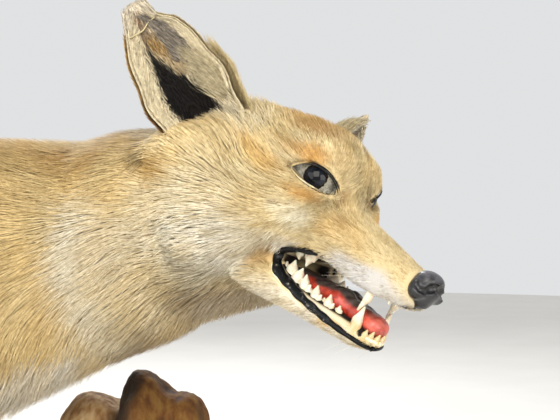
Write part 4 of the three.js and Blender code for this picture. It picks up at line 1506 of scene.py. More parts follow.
@dataclass(frozen=True)
class Ear:
    """One ear: a cupped leaf whose wall runs from its root to its tip.

    Attributes:
        side: 1 for the left ear, -1 for the right, whose tip has folded back.
    """

    side: float

    ROOT = (-136.0, 45.0, 32.0)
    AXIS = (-0.455, 0.668, 0.588)
    OPENING = (0.8, 0.6, 0.03)
    LENGTH = {1.0: 70.0, -1.0: 78.0}
    HALF_WIDTH = 20.6
    DEPTH = 19.0
    WALL = 4.2
    SWEEP = 1.25  # half the angle round which the wall is cupped
    START = -0.16  # how far down into the head it is rooted, of its length
    PAST = 1.3  # how far across hair may run, where the margins are at 1
    ROWS, ACROSS = 46, 26
    SHARE = {1.0: 0.5, -1.0: 1.0}  # of its hairs that are made; those of the left ear are wider instead

    def axes(self) -> tuple[Array, Array, Array]:
        """Its long axis, the way it opens and the way across, to the middle of the head."""
        flip = np.array([1, self.side, 1])
        axis = unit(np.array(self.AXIS) * flip)
        opening = np.array(self.OPENING) * flip
        opening = unit(opening - axis * (opening @ axis))
        return axis, opening, -self.side * np.cross(axis, opening)

    def wall(self, t: Array, u: Array, layer: Array | float) -> Array:
        """Points of the wall in the head's frame.

        Args:
            t: Place from root to tip.
            u: Place across, -1 at the outer margin to 1 at the inner one.
            layer: 0 inside, 1 at the tips of the hair outside.

        Returns:
            One point a value.
        """
        axis, opening, across = self.axes()
        out = np.clip(t, 0, 1)
        folded = self.side < 0
        taper = 1 - 0.7 * out**2.4 if folded else 1 - 0.86 * out**2
        foot = 1 - 0.35 * smooth(t, 0.08, self.START)
        half = self.HALF_WIDTH * taper * (1 - 0.1 * np.cos(math.pi * np.clip(2 * t, 0, 1))) * foot
        deep = self.DEPTH * (1 - 0.72 * out) * foot
        flop = 26 * np.maximum(t - 0.8, 0) if folded else 10 * np.maximum(t - 0.75, 0)
        wall = layer * self.WALL * (1 - 0.35 * out)
        edge = 1 + 0.03 * np.sin(t * 19 + 1) * np.abs(np.clip(u, -1, 1)) ** 3
        if folded:
            edge = edge - 0.4 * smooth(t, 0.8, 0.9) * smooth(u, 0, 0.6)
        turn = u * self.SWEEP
        sideways = (half * edge + wall) * np.sin(turn) / math.sin(self.SWEEP)
        back = -(deep + wall) * np.cos(turn) - flop
        place = np.array(self.ROOT) * [1, self.side, 1]
        return (
            place
            + (t * self.LENGTH[self.side])[:, None] * axis
            + sideways[:, None] * across
            + back[:, None] * opening
        )

    def shades(self, t: Array, u: Array, inside: bool) -> Array:
        """Linear colours of the wall and its hair.

        Args:
            t: Place from root to tip.
            u: Place across.
            inside: Whether the cup's inside is meant.

        Returns:
            One colour a value.
        """
        lobe = smooth(t - self.crease(u), 0.0, 0.02)[:, None] * (self.side < 0)
        rust = smooth(t - self.crease(u), 0.07, 0.02) * smooth(np.abs(u + 0.25), 0.45, 0.2)
        lobe_shade = linear("#dcd2bd") + (linear("#9c6d38") - linear("#dcd2bd")) * (0.8 * rust)[:, None]
        if not inside:
            back = np.tile(linear("#a88f62"), (len(t), 1))
            tints = (
                ("#8a683f", smooth(u, -0.2, -0.7)),
                ("#c9a66b", smooth(u, -0.8, -0.95) * smooth(t, 0.3, 0.5)),
                ("#6a5642", smooth(t, 0.45, 0.8) * smooth(np.abs(u), 0.9, 0.3)),
                ("#d8c79f", smooth(u, 0.35, 0.85)),
            )
            for shade, share in tints:
                back = back + (linear(shade) - back) * share[:, None]
            return back + (lobe_shade - back) * lobe
        inner = np.tile(linear("#ebdfc0"), (len(t), 1))
        heights = (0.05, 0.25, 0.37, 0.5, 0.63, 0.73, 0.8)
        right = np.interp(t, heights, (0.5, 0.43, 0.2, 0.0, -0.2, -0.27, -0.4))
        left = np.interp(t, (0.1, 0.32, 0.52, 0.72), (-0.42, -0.5, -0.4, -0.32))
        golden = smooth(u - right, -0.05, 0.05) * smooth(u - right, 0.46, 0.3) * smooth(t, 0.38, 0.5)
        golden = golden * (0.75 + 0.25 * np.sin(9 * u + 31 * t))
        grizzled = smooth(t, 0.54, 0.62) * smooth(u, 0.22, 0.32) * smooth(u, 0.72, 0.56)
        smoky = smooth(t, 0.7, 0.76) * smooth(u, -0.44, -0.36) * smooth(u, 0.14, 0.0)
        # The hollow is near black where the cup is deepest: painted shade in the ear's recess.
        hollow = smooth(u - right, 0.06, -0.06) * smooth(u - left, -0.05, 0.05)
        hollow = hollow * smooth(t, 0.82, 0.74) * smooth(t, 0.0, 0.05)
        layers = (
            ("#a3824a", golden), ("#6f675f", 0.8 * grizzled), ("#857463", 0.8 * smoky), ("#0f0a09", hollow),
        )
        for shade, share in layers:
            inner = inner + (linear(shade) - inner) * share[:, None]
        return inner + (lobe_shade - inner) * lobe

    @staticmethod
    def crease(u: Array) -> Array:
        """How far up the folded ear its crease runs, across the ear."""
        return 0.84 + 0.035 * smooth(u, -0.3, 0.2)

    def shell(self) -> tuple[bpy.types.Object, Array, Array]:
        """The leaf itself, and t and u at its corners."""
        t = np.linspace(self.START, 1, self.ROWS + 1)
        u = np.linspace(-1, 1, self.ACROSS + 1)
        ring_u = np.concatenate([u, u[::-1]])
        layers = np.concatenate([0.62 - 0.22 * u**4, 0.12 + 0.2 * u**4])
        tt = np.repeat(t, len(ring_u))
        uu, ll = np.tile(ring_u, len(t)), np.tile(layers, len(t))
        points = self.wall(tt, uu, ll)
        ring, n = len(ring_u), self.ACROSS
        faces = []
        for r in range(self.ROWS):
            here = r * ring + np.arange(ring)
            after = r * ring + (np.arange(ring) + 1) % ring
            faces.append(np.stack([here, after, after + ring, here + ring], axis=1))
        top = self.ROWS * ring
        k = np.arange(n)
        faces.append(np.stack([ring - 1 - k, ring - 2 - k, k + 1, k], axis=1))
        faces.append(np.stack([top + k, top + k + 1, top + ring - 2 - k, top + ring - 1 - k], axis=1))
        name = "ear_skin_left" if self.side > 0 else "ear_skin_right"
        made = facing_out(mesh_object(name, points, np.concatenate(faces), HEAD))
        inside = ll < 0.35
        # The outside of the leaf at 0.7 of its hair's colour: painted shade under that hair.
        colours = np.where(inside[:, None], self.shades(tt, uu, True), self.shades(tt, uu, False) * 0.7)
        paint(made, colours)
        return made, tt, uu

    def hair(
        self, rng: np.random.Generator, count: int, t: tuple[float, float], u: tuple[float, float],
        layer: float, lean: float, length: float, width: float, lift: float,
    ) -> tuple[Tufts, Array, Array]:
        """Tufts on a stretch of the wall.

        Args:
            rng: Random draws.
            count: How many.
            t: Range from root to tip.
            u: Range across.
            layer: Which side of the wall, as in wall().
            lean: How far they turn across as they run to the tip.
            length: In millimetres.
            width: In millimetres.
            lift: How far their tips stand off the wall, in millimetres.

        Returns:
            The tufts, and t and u of their roots.
        """
        count = int(count * self.SHARE[self.side])
        tt, uu = rng.uniform(*t, count), rng.uniform(*u, count)
        out = 1.0 if layer > 0.5 else -1.0
        spot = self.wall(tt, uu, layer)
        e = 0.02
        rise = (self.wall(tt + e, uu, layer) - spot) / e
        wide = (self.wall(tt, uu + e, layer) - spot) / e
        up = unit(np.cross(rise, wide)) * (-self.side * out)
        long = length * rng.uniform(0.7, 1.15, count)
        turn = lean + 0.16 * rng.normal(size=count) + 0.15 * ripple(spot, 9, 31)
        flow = unit(unit(rise) + unit(wide) * turn[:, None])
        step_t = (flow * unit(rise)).sum(axis=1) * long / np.linalg.norm(rise, axis=1)
        step_u = (flow * unit(wide)).sum(axis=1) * long / np.linalg.norm(wide, axis=1)

        def at(share: float, stand: Array | float) -> Array:
            across = np.clip(uu + step_u * share, -self.PAST, self.PAST)
            place = self.wall(np.minimum(tt + step_t * share, 1.04), across, layer)
            return HEAD.out(place + up * np.reshape(stand, (-1, 1)))

        spine = [at(0, -0.3), at(0.42, lift * 0.6), at(1, lift * rng.uniform(0.5, 1.2, count))]
        across = unit(np.cross(HEAD.turn(up), spine[2] - spine[0]))
        ragged = rng.normal(size=(2, count)) * [[0.015], [0.05]]
        colour = self.shades(tt + ragged[0], uu + ragged[1], out < 0)
        colour = colour * rng.normal(1, 0.15, count).clip(0.6, 1.4)[:, None]
        widths = width / math.sqrt(self.SHARE[self.side]) * rng.uniform(0.7, 1.25, count)
        flat = np.stack([tt, (uu + 1) / 2], axis=1) * 0.9
        return Tufts(spine, across, HEAD.turn(up), widths, colour, flat, Cut.BENT, False), tt, uu


def joined(parts: Sequence[Tufts]) -> Tufts:
    """Several lots of tufts of one cut as one."""
    spine = [np.concatenate([p.spine[n] for p in parts]) for n in range(len(parts[0].spine))]
    names = ("side", "up", "width", "colour", "spot")
    fields = [np.concatenate([getattr(p, name) for p in parts]) for name in names]
    return Tufts(spine, *fields, parts[0].cut, parts[0].soft)


def dress_ear(side: float, hide: bpy.types.Material, hair: bpy.types.Material) -> None:
    """Builds one ear: its leaf, the short hair outside and the long pale hair round its dark hollow."""
    ear, rng = Ear(side), np.random.default_rng(40 if side > 0 else 41)
    name = "left" if side > 0 else "right"
    made, _, _ = ear.shell()
    only(made)
    bpy.ops.object.mode_set(mode="EDIT")
    bpy.ops.mesh.select_all(action="SELECT")
    bpy.ops.uv.smart_project(island_margin=0.01)
    bpy.ops.object.mode_set(mode="OBJECT")
    made.data.uv_layers.active.name = BAKE_MAP
    finish(made, hide, "ear_coat")
    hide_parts(f"ear_{name}")
    outer = [
        ear.hair(rng, 3000, (-0.12, 0.99), (-0.94, 0.94), 0.62, 0.0, 7, 0.7, 1.2)[0],
        ear.hair(rng, 1300, (-0.05, 0.84), (-1.02, -0.84), 0.62, -0.35, 5, 0.4, 1.0)[0],
        ear.hair(rng, 700, (0.3, 0.86), (0.88, 1.02), 0.62, 0.4, 4.5, 0.4, 0.8)[0],
    ]
    tuft, t, u = ear.hair(rng, 1500, (-0.1, 0.36), (0.6, 1.06), 0.62, 0.3, 20, 0.5, 4.5)
    tuft.colour[:] = linear("#dbca9c") * rng.normal(1, 0.16, len(t)).clip(0.5, 1.3)[:, None]
    outer.append(tuft)
    inner = [
        ear.hair(rng, 3400, (-0.05, 0.99), (-0.98, 0.98), 0.12, -0.1, 7, 0.5, 1.2)[0],
        ear.hair(rng, 1200, (-0.05, 0.84), (-1.0, -0.6), 0.12, 0.3, 8, 0.45, 1.4)[0],
        ear.hair(rng, 1200, (0.2, 0.84), (0.7, 1.02), 0.12, 0.5, 7, 0.45, 1.2)[0],
        ear.hair(rng, 1000, (-0.05, 0.94), (-1.04, -0.95), 0.36, -0.25, 4, 0.4, 0.5)[0],
        ear.hair(rng, 1300, (0.0, 0.94), (0.95, 1.04), 0.36, 0.4, 5.5, 0.4, 0.6)[0],
    ]
    locks = (
        ("#cbbf9e", 620, (0.14, 0.44), (0.52, 1.0), -0.36, 19, 3.0, 0.22),
        ("#8b8378", 800, (0.5, 0.84), (0.2, 0.68), -0.25, 11, 2.0, 0.6),
        ("#d9cfb6", 260, (-0.06, 0.05), (-0.8, 0.95), -0.1, 10, 3.0, 0.25),
    )
    for shade, count, along, over, lean, length, lift, spread in locks:
        lock, t, _ = ear.hair(rng, count, along, over, 0.12, lean, length, 0.45, lift)
        lock.colour[:] = linear(shade) * rng.normal(0.95, spread, len(t)).clip(0.25, 1.6)[:, None]
        inner.append(lock)
    if side < 0:
        u = np.linspace(-1.04, 0.85, 60)
        path = ear.wall(ear.crease(u), u, np.full(60, -0.3))
        _, opening, _ = ear.axes()
        ridge = tube("ear_crease", path, np.tile(opening, (60, 1)), 0.35 * ends_drawn(60), 0.55)
        paint(ridge, np.tile(linear("#c2b48e"), (len(ridge.data.vertices), 1)))
        finish(ridge, hide, "ear_coat")
    finish(joined(outer).mesh(f"coat_ear_back_{name}"), hair, "ear_coat")
    finish(joined(inner).mesh(f"coat_ear_cup_{name}"), hair, "ear_coat")


# ---- Eyes ----


def to_fox(q: Array, local: Frame | None = None) -> Array:
    """Points of the head's frame, or of a frame in it, in the fox's frame."""
    return HEAD.out(q if local is None else local.out(q))


def tube(name: str, path: Array, out: Array, half: Array | float, high: Array | float) -> bpy.types.Object:
    """A flattened closed rod that lies on a surface.

    Args:
        name: The piece's name.
        path: Points along its middle, in the head's frame.
        out: The surface's outward vectors there.
        half: Half widths along the surface.
        high: Half heights off it.

    Returns:
        The object.
    """
    along = unit(np.gradient(path, axis=0))
    across = unit(np.cross(along, out))
    up = unit(np.cross(across, along))
    full = np.ones(len(path))
    points, faces = sweep(path, across, up, full * half, full * high)
    return facing_out(mesh_object(name, points, faces, HEAD))


def ends_drawn(count: int, share: float = 0.12) -> Array:
    """1 along a line and down to a tenth at its two ends."""
    t = np.linspace(0, 1, count)
    return 0.1 + 0.9 * smooth(t, 0, share) * smooth(t, 1, 1 - share)


def glass_finish() -> bpy.types.Material:
    """Blown and painted eye glass: near black, clear and as glossy as a wet marble."""
    made = Finish("blown_eye_glass", Gloss(rough=0.5, specular=0.0, coat=0.5, coat_rough=0.02))
    return made.colour(made.painted()).material


def putty_finish() -> bpy.types.Material:
    """Old modelling putty painted grey: chalky, with flakes half a millimetre across."""
    made = Finish("painted_putty", Gloss(rough=0.55, specular=0.4))
    flakes = noise(made.tree, made.coords, 0.9, 5.0)
    shade = ramp(made.tree, flakes, (0.3, "#8d8a84"), (0.45, "#dcdad4"), (0.65, "#ffffff"))
    made.colour(made.mixed(1.0, made.painted(), shade, "MULTIPLY"))
    return made.bump(flakes, 0.5, 0.8).material


def lacquer_finish() -> bpy.types.Material:
    """Black gloss lacquer brushed over the lips and lids, with fine runs and a few pale rubs."""
    made = Finish("brushed_black_lacquer", Gloss(rough=0.32, specular=0.12, coat=0.14, coat_rough=0.06))
    wear = noise(made.tree, made.coords, 2.6, 6.0)
    stops = ((0.0, "#020304"), (0.56, "#07080a"), (0.66, "#2b2b2c"), (0.76, "#8f8b7c"))
    made.colour(ramp(made.tree, wear, *stops))
    return made.bump(noise(made.tree, made.coords, 1.4, 3.0), 0.35, 0.8).material


def cream_paint_finish() -> bpy.types.Material:
    """Yellowed cream paint at the lids, lips and gums, thick and uneven."""
    made = Finish("yellowed_cream_paint", Gloss(rough=0.35, coat=0.25, glow=0.1))
    patches = noise(made.tree, made.coords, 2.0, 4.0)
    made.colour(ramp(made.tree, patches, (0.28, "#c8a050"), (0.42, "#e0cc98"), (0.62, "#ece4cc")))
    return made.bump(patches, 0.3, 0.6).material


@dataclass(frozen=True)
class Eye:
    """One glass eye in its dish of putty, with painted lids.

    Attributes:
        side: 1 for the left eye, -1 for the right.
        skin: The surface that its lids lie on.
    """

    side: float
    skin: Skin

    PUPIL = 0.36  # radians from the axis
    IRIS = 0.74
    SHOWN = 5.9  # radius of glass left free of putty
    AROUND, RINGS = 96, 9

    def heights(self, x: Array, y: Array) -> Array:
        """Heights of the skin over points of the eye's plane."""
        eye = eye_frame(self.side)
        flat = np.stack([x, y, np.zeros(len(x))], axis=1)
        up = np.tile(HEAD.turn(eye.turn(np.array([0.0, 0.0, 1.0]))), (len(x), 1))
        fox = self.skin.fox
        hit = outer_hit(lambda p: fox.outline(p) + fox.depth(p), to_fox(flat, eye), up, 24)
        return eye.into(HEAD.into(hit))[:, 2]

    def opening(self, turn: Array, grow: float) -> Array:
        """Distances from the middle to the almond's edge, grown by grow, at angles round it."""
        eye, reach = eye_frame(self.side), np.full(len(turn), 10.0)
        for _ in range(30):
            flat = np.stack([reach * np.cos(turn), reach * np.sin(turn), np.zeros(len(turn))], axis=1)
            edge, _ = ALMOND.edge(eye.out(flat), self.side)
            reach = reach - 0.8 * (edge - grow)
        return reach

    def glass(self) -> bpy.types.Object:
        """The ball, its pole on the axis, with pupil and iris painted behind the glass."""
        bpy.ops.object.select_all(action="DESELECT")
        bpy.ops.mesh.primitive_uv_sphere_add(segments=64, ring_count=48, radius=EYE_RADIUS)
        ball = bpy.context.object
        ball.name = "glass_eye_left" if self.side > 0 else "glass_eye_right"
        bpy.ops.object.shade_smooth()
        local = read_points(ball)
        angle = np.arccos(np.clip(local[:, 2] / EYE_RADIUS, -1, 1))
        ring = np.arctan2(local[:, 1], local[:, 0])
        fleck = 0.5 + 0.5 * np.sin(ring * 23 + 3 * np.sin(ring * 5))
        colour = np.tile(linear("#06080c"), (len(local), 1))
        iris = linear("#0f1520") + (linear("#1f2126") - linear("#0f1520")) * (fleck * 0.6)[:, None]
        colour = colour + (iris - colour) * smooth(angle, self.PUPIL, self.PUPIL + 0.1)[:, None]
        colour = colour + (linear("#1b140f") - colour) * smooth(angle, self.IRIS - 0.12, self.IRIS)[:, None]
        paint(ball, colour)
        write_points(ball, eye_frame(self.side).out(local), HEAD)
        return ball

    def putty(self) -> bpy.types.Object:
        """The dish between glass and lids, a closed ring that sinks under both."""
        turn = np.arange(self.AROUND) * 2 * math.pi / self.AROUND
        outer = np.maximum(self.opening(turn, 1.0), self.SHOWN + 0.4)
        edge = self.heights(outer * np.cos(turn), outer * np.sin(turn))
        inner = math.sqrt(EYE_RADIUS**2 - self.SHOWN**2) - 0.15
        steps = np.linspace(0, 1, self.RINGS)
        share = np.concatenate([steps, steps[::-1]])
        drop = np.concatenate([np.zeros(self.RINGS), np.full(self.RINGS, 1.5)])
        far = self.SHOWN - 0.5 + (outer[:, None] - self.SHOWN + 0.5) * share
        high = inner + (edge - 0.9 - inner)[:, None] * smooth(share, 0.1, 1.0) - drop
        sag = 0.5 * np.sin(math.pi * share)
        local = np.stack([far * np.cos(turn)[:, None], far * np.sin(turn)[:, None], high - sag], axis=2)
        points = local.reshape(-1, 3)
        points[:, 2] += 0.16 * ripple(points, 1.6, 51) * (np.tile(drop, self.AROUND) == 0)
        ring = 2 * self.RINGS
        n, k = np.arange(self.AROUND)[:, None], np.arange(ring)[None]
        after, up = (n + 1) % self.AROUND, (k + 1) % ring
        faces = np.stack([n * ring + k, after * ring + k, after * ring + up, n * ring + up], axis=-1)
        faces = faces.reshape(-1, 4)
        name = "eye_putty_left" if self.side > 0 else "eye_putty_right"
        made = facing_out(mesh_object(name, points, faces, Frame(*self._frame())))
        tone = linear("#8f8c7f") * (1 + 0.3 * ripple(points, 4, 52))[:, None]
        dark = smooth(np.abs(points[:, 0]), 7, 10) * smooth(ripple(points, 1.8, 53), 0.0, 0.4)
        paint(made, tone + (linear("#34322f") - tone) * (0.85 * dark)[:, None])
        return made

    def _frame(self) -> tuple[Array, Array]:
        """The eye's place and axes in the fox's frame."""
        eye = eye_frame(self.side)
        return HEAD.out(eye.at), HEAD.axes @ eye.axes

    def lid(self, name: str, start: float, end: float, grow: float, rise: float, size: tuple[float, float],
            material: bpy.types.Material, slot: str) -> None:
        """A painted line along part of the opening's edge.

        Args:
            name: The piece's name.
            start: Where it starts, in degrees round the eye.
            end: Where it ends.
            grow: How far outside the edge it lies, in millimetres.
            rise: How far over the skin.
            size: Half its width and half its height.
            material: What it is painted with.
            slot: A slot's name, handed on to finish(), which does not use it.
        """
        turn = np.radians(np.linspace(start, end, 44))
        reach = self.opening(turn, grow)
        x, y = reach * np.cos(turn), reach * np.sin(turn)
        eye = eye_frame(self.side)
        path = eye.out(np.stack([x, y, self.heights(x, y) + rise], axis=1))
        out = np.tile(eye.turn(np.array([0.0, 0.0, 1.0])), (len(path), 1))
        drawn = ends_drawn(len(path))
        suffix = "left" if self.side > 0 else "right"
        finish(tube(f"{name}_{suffix}", path, out, size[0] * drawn, size[1] * drawn), material, slot)

    def build(self, glass: bpy.types.Material, putty: bpy.types.Material, black: bpy.types.Material,
              cream: bpy.types.Material) -> None:
        """Builds the eye with its four materials."""
        ball = finish(self.glass(), glass, "eye_glass")
        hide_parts("eye_left" if self.side > 0 else "eye_right")
        finish(self.putty(), putty, "pale_coat")
        self.lid("upper_lid", -4, 150, 0.1, 0.0, (0.3, 0.34), black, "nose_skin")
        self.lid("lid_ridge", -12, 168, -0.75, -0.4, (0.42, 0.36), putty, "pale_coat")
        self.lid("lower_lid", 178, 318, -0.1, 0.1, (0.38, 0.34), cream, "pale_coat")
        # A black line in the fold under the lower lid: painted shade of that fold.
        self.lid("lower_crease_shade", 205, 338, 0.6, 0.0, (0.26, 0.22), black, "nose_skin")


# ---- Nose ----


def nose_finish() -> bpy.types.Material:
    """Nose leather under satin black paint: pebbles under a millimetre, paler where dust has settled."""
    made = Finish("painted_nose_leather", Gloss(rough=0.34, coat=0.2, coat_rough=0.25))
    dust = noise(made.tree, made.coords, 3.0, 5.0)
    shade = ramp(made.tree, dust, (0.35, "#8f8f92"), (0.7, "#ffffff"))
    made.colour(made.mixed(1.0, made.painted(), shade, "MULTIPLY"))
    pebble = node(made.tree, "ShaderNodeTexVoronoi", {"Vector": made.coords, "Scale": 1 / (0.9 * MM)})
    return made.bump(pebble.outputs["Distance"], 0.12, 0.5).material


@dataclass(frozen=True)
class Nose:
    """The nose: pad, wings, comma-shaped nostrils and the black strip down to the lip."""

    STEP = 0.42
    SLIT = (
        (3.2, 2.2, 11.4), (2.6, 4.4, 10.4), (1.4, 6.6, 8.6),
        (-0.6, 8.6, 8.2), (-2.9, 9.8, 9.6), (-4.2, 9.7, 11.6),
    )
    SLIT_RADII = (2.3, 2.3, 1.7, 1.3, 1.1, 0.8)

    def pad(self) -> Form:
        """The whole pad, before its nostrils are cut, in the head's frame."""
        return blend(
            2.5,
            egg([-4.2, 0, 9.4], [7.0, 9.0, 7.3]),
            egg([-3.6, 0, 13.6], [5.8, 6.0, 3.4]),
            *both(lambda s: egg([-3.4, 7.0 * s, 7.0], [4.6, 3.3, 3.9])),
            limb([-4.5, 0, 3.0], [-6.5, 0, 0.5], 4.4, 2.8, 1.15),
        )

    def form(self) -> Form:
        """The pad with its nostrils and the groove down its middle."""
        pad = self.pad()
        for side in SIDES:
            line = settled(pad, np.array(self.SLIT) * [1, side, 1], 0.1)
            ends = list(zip(line, self.SLIT_RADII))
            slit = blend(0.5, *[limb(a, b, start, end) for (a, start), (b, end) in zip(ends, ends[1:])])
            pad = carve(0.9, pad, slit)
        return carve(0.7, pad, limb([4.0, 0, 12.5], [-4.5, 0, -2.5], 0.5, 0.6))

    def build(self, material: bpy.types.Material) -> None:
        """Builds it and dresses it."""
        form = self.form()
        points, faces = net_of(form, [-16, -12, -10], [6, 12, 18], self.STEP)
        made = mesh_object("nose_leather", points, faces, HEAD)
        _, slope = slope_of(form, points, 0.2)
        # Upward faces painted paler: a painted highlight from the lamps above, together with dust settled
        # there.
        top = smooth(slope[:, 2], 0.1, 0.9) * smooth(points[:, 2], 8, 13)
        # Near black where the pad is cut away, in the nostrils and the groove: painted shade.
        deep = smooth(self.pad()(points), -0.3, -1.3)
        tone = linear("#1b1b1f") + (linear("#5c5b61") - linear("#1b1b1f")) * (0.8 * top)[:, None]
        tone = tone + (linear("#2e2d32") - tone) * (0.5 * smooth(ripple(points, 3, 61), 0, 0.8))[:, None]
        tone = tone + (linear("#060607") - tone) * deep[:, None]
        low = smooth(points[:, 2], 4.5, 1.0)
        paint(made, tone + (linear("#0f1013") - tone) * low[:, None])
        finish(made, material, "nose_skin")
        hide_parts("nose")


# ---- Mouth ----


def ivory_finish() -> bpy.types.Material:
    """Tooth enamel: warm ivory, a little translucent and polished, yellower at the roots."""
    made = Finish("tooth_enamel", Gloss(rough=0.3, coat=0.2, glow=0.2))
    stain = noise(made.tree, made.coords, 3.5, 4.0)
    shade = ramp(made.tree, stain, (0.3, "#efe3cd"), (0.65, "#ffffff"))
    made.colour(made.mixed(1.0, made.painted(), shade, "MULTIPLY"))
    return made.bump(noise(made.tree, made.coords, 1.2, 2.0, (1, 1, 4)), 0.08, 0.6).material


def tongue_finish() -> bpy.types.Material:
    """A cast tongue painted coral and varnished, its top dulled by grey dust in fine furrows."""
    made = Finish("varnished_tongue_paint", Gloss(rough=0.38, coat=0.3, coat_rough=0.18, glow=0.15))
    mottle = noise(made.tree, made.coords, 3.2, 5.0)
    shade = ramp(made.tree, mottle, (0.28, "#a88f86"), (0.62, "#ffffff"))
    made.colour(made.mixed(1.0, made.painted(), shade, "MULTIPLY"))
    return made.bump(noise(made.tree, made.coords, 1.3, 4.0, (3, 1, 1)), 0.35, 0.7).material


@dataclass(frozen=True)
class Tooth:
    """One tooth of the left side.

    Attributes:
        root: Its root in the head's frame.
        tip: Its highest point.
        radius: At the root.
        cusps: How far the lower points before and behind the tip stand off, or 0 for a plain tooth.
        bow: How far its middle is bowed forward.
    """

    root: tuple[float, float, float]
    tip: tuple[float, float, float]
    radius: float
    cusps: float = 0.0
    bow: float = 0.0

    def form(self, side: float) -> Form:
        """Its form on one side."""
        flip = np.array([1, side, 1])
        root, tip = np.array(self.root) * flip, np.array(self.tip) * flip
        middle = root + (tip - root) * 0.5 + np.array([self.bow, 0, 0])
        waist = self.radius * 0.72
        parts = [limb(root, middle, self.radius, waist), limb(middle, tip, waist, 0.55)]
        if self.cusps:
            for ahead in (1, -1):
                foot = root + [ahead * self.cusps * 0.7, 0, 0]
                point = root + (tip - root) * 0.52 + [ahead * self.cusps, 0, 0]
                parts.append(limb(foot, point, self.radius * 0.8, 0.7))
        return blend(0.8, *parts)


UPPER_TEETH = (
    Tooth((-24.5, 9.8, -0.5), (-27.8, 10.6, -13.6), 2.6, bow=0.8),
    Tooth((-11.6, 1.8, 0), (-11.4, 1.8, -4.2), 1.4),
    Tooth((-13.0, 4.6, 0), (-12.8, 4.7, -4.2), 1.4),
    Tooth((-15.2, 7.0, 0), (-15.2, 7.1, -4.4), 1.5),
    Tooth((-33, 9.4, 1), (-33.2, 9.6, -2.8), 1.8, 2.0),
    Tooth((-41.5, 10.6, 1), (-41.8, 10.8, -2.4), 2.0, 2.4),
    Tooth((-50, 12.0, 2), (-50.2, 12.2, -1.2), 2.2, 2.6),
    Tooth((-66.5, 13.5, 0.5), (-67.8, 13.5, -7.6), 3.0, 3.2),
    Tooth((-76, 14.0, -1), (-73.8, 14.0, -6.2), 2.6, 2.4),
)
LOWER_TEETH = (
    Tooth((-26.4, 8.6, -25), (-25.0, 9.9, -11.2), 3.4, bow=-0.8),
    Tooth((-18.2, 1.6, -25), (-16.6, 1.7, -20.4), 1.6),
    Tooth((-19.8, 4.2, -25), (-18.4, 4.4, -20.2), 1.6),
    Tooth((-21.6, 6.6, -25), (-20.4, 6.9, -20.4), 1.7),
    Tooth((-38.1, 10.8, -20.5), (-38.4, 11.0, -16.6), 1.8, 1.8),
    Tooth((-44.9, 12.2, -20.5), (-45.3, 12.4, -14.0), 2.6, 3.4),
    Tooth((-53.2, 14.0, -20), (-53.9, 14.2, -13.0), 2.8, 3.8),
    Tooth((-61.3, 15.0, -18.5), (-63.0, 15.2, -11.1), 3.0, 4.0),
    Tooth((-68.2, 15.5, -17.5), (-66.9, 15.5, -9.4), 3.8),
    Tooth((-73.2, 15.5, -17), (-74.0, 15.5, -7.7), 4.0, 3.0),
    Tooth((-78, 15.6, -16), (-79.0, 15.6, -10.4), 3.0),
)


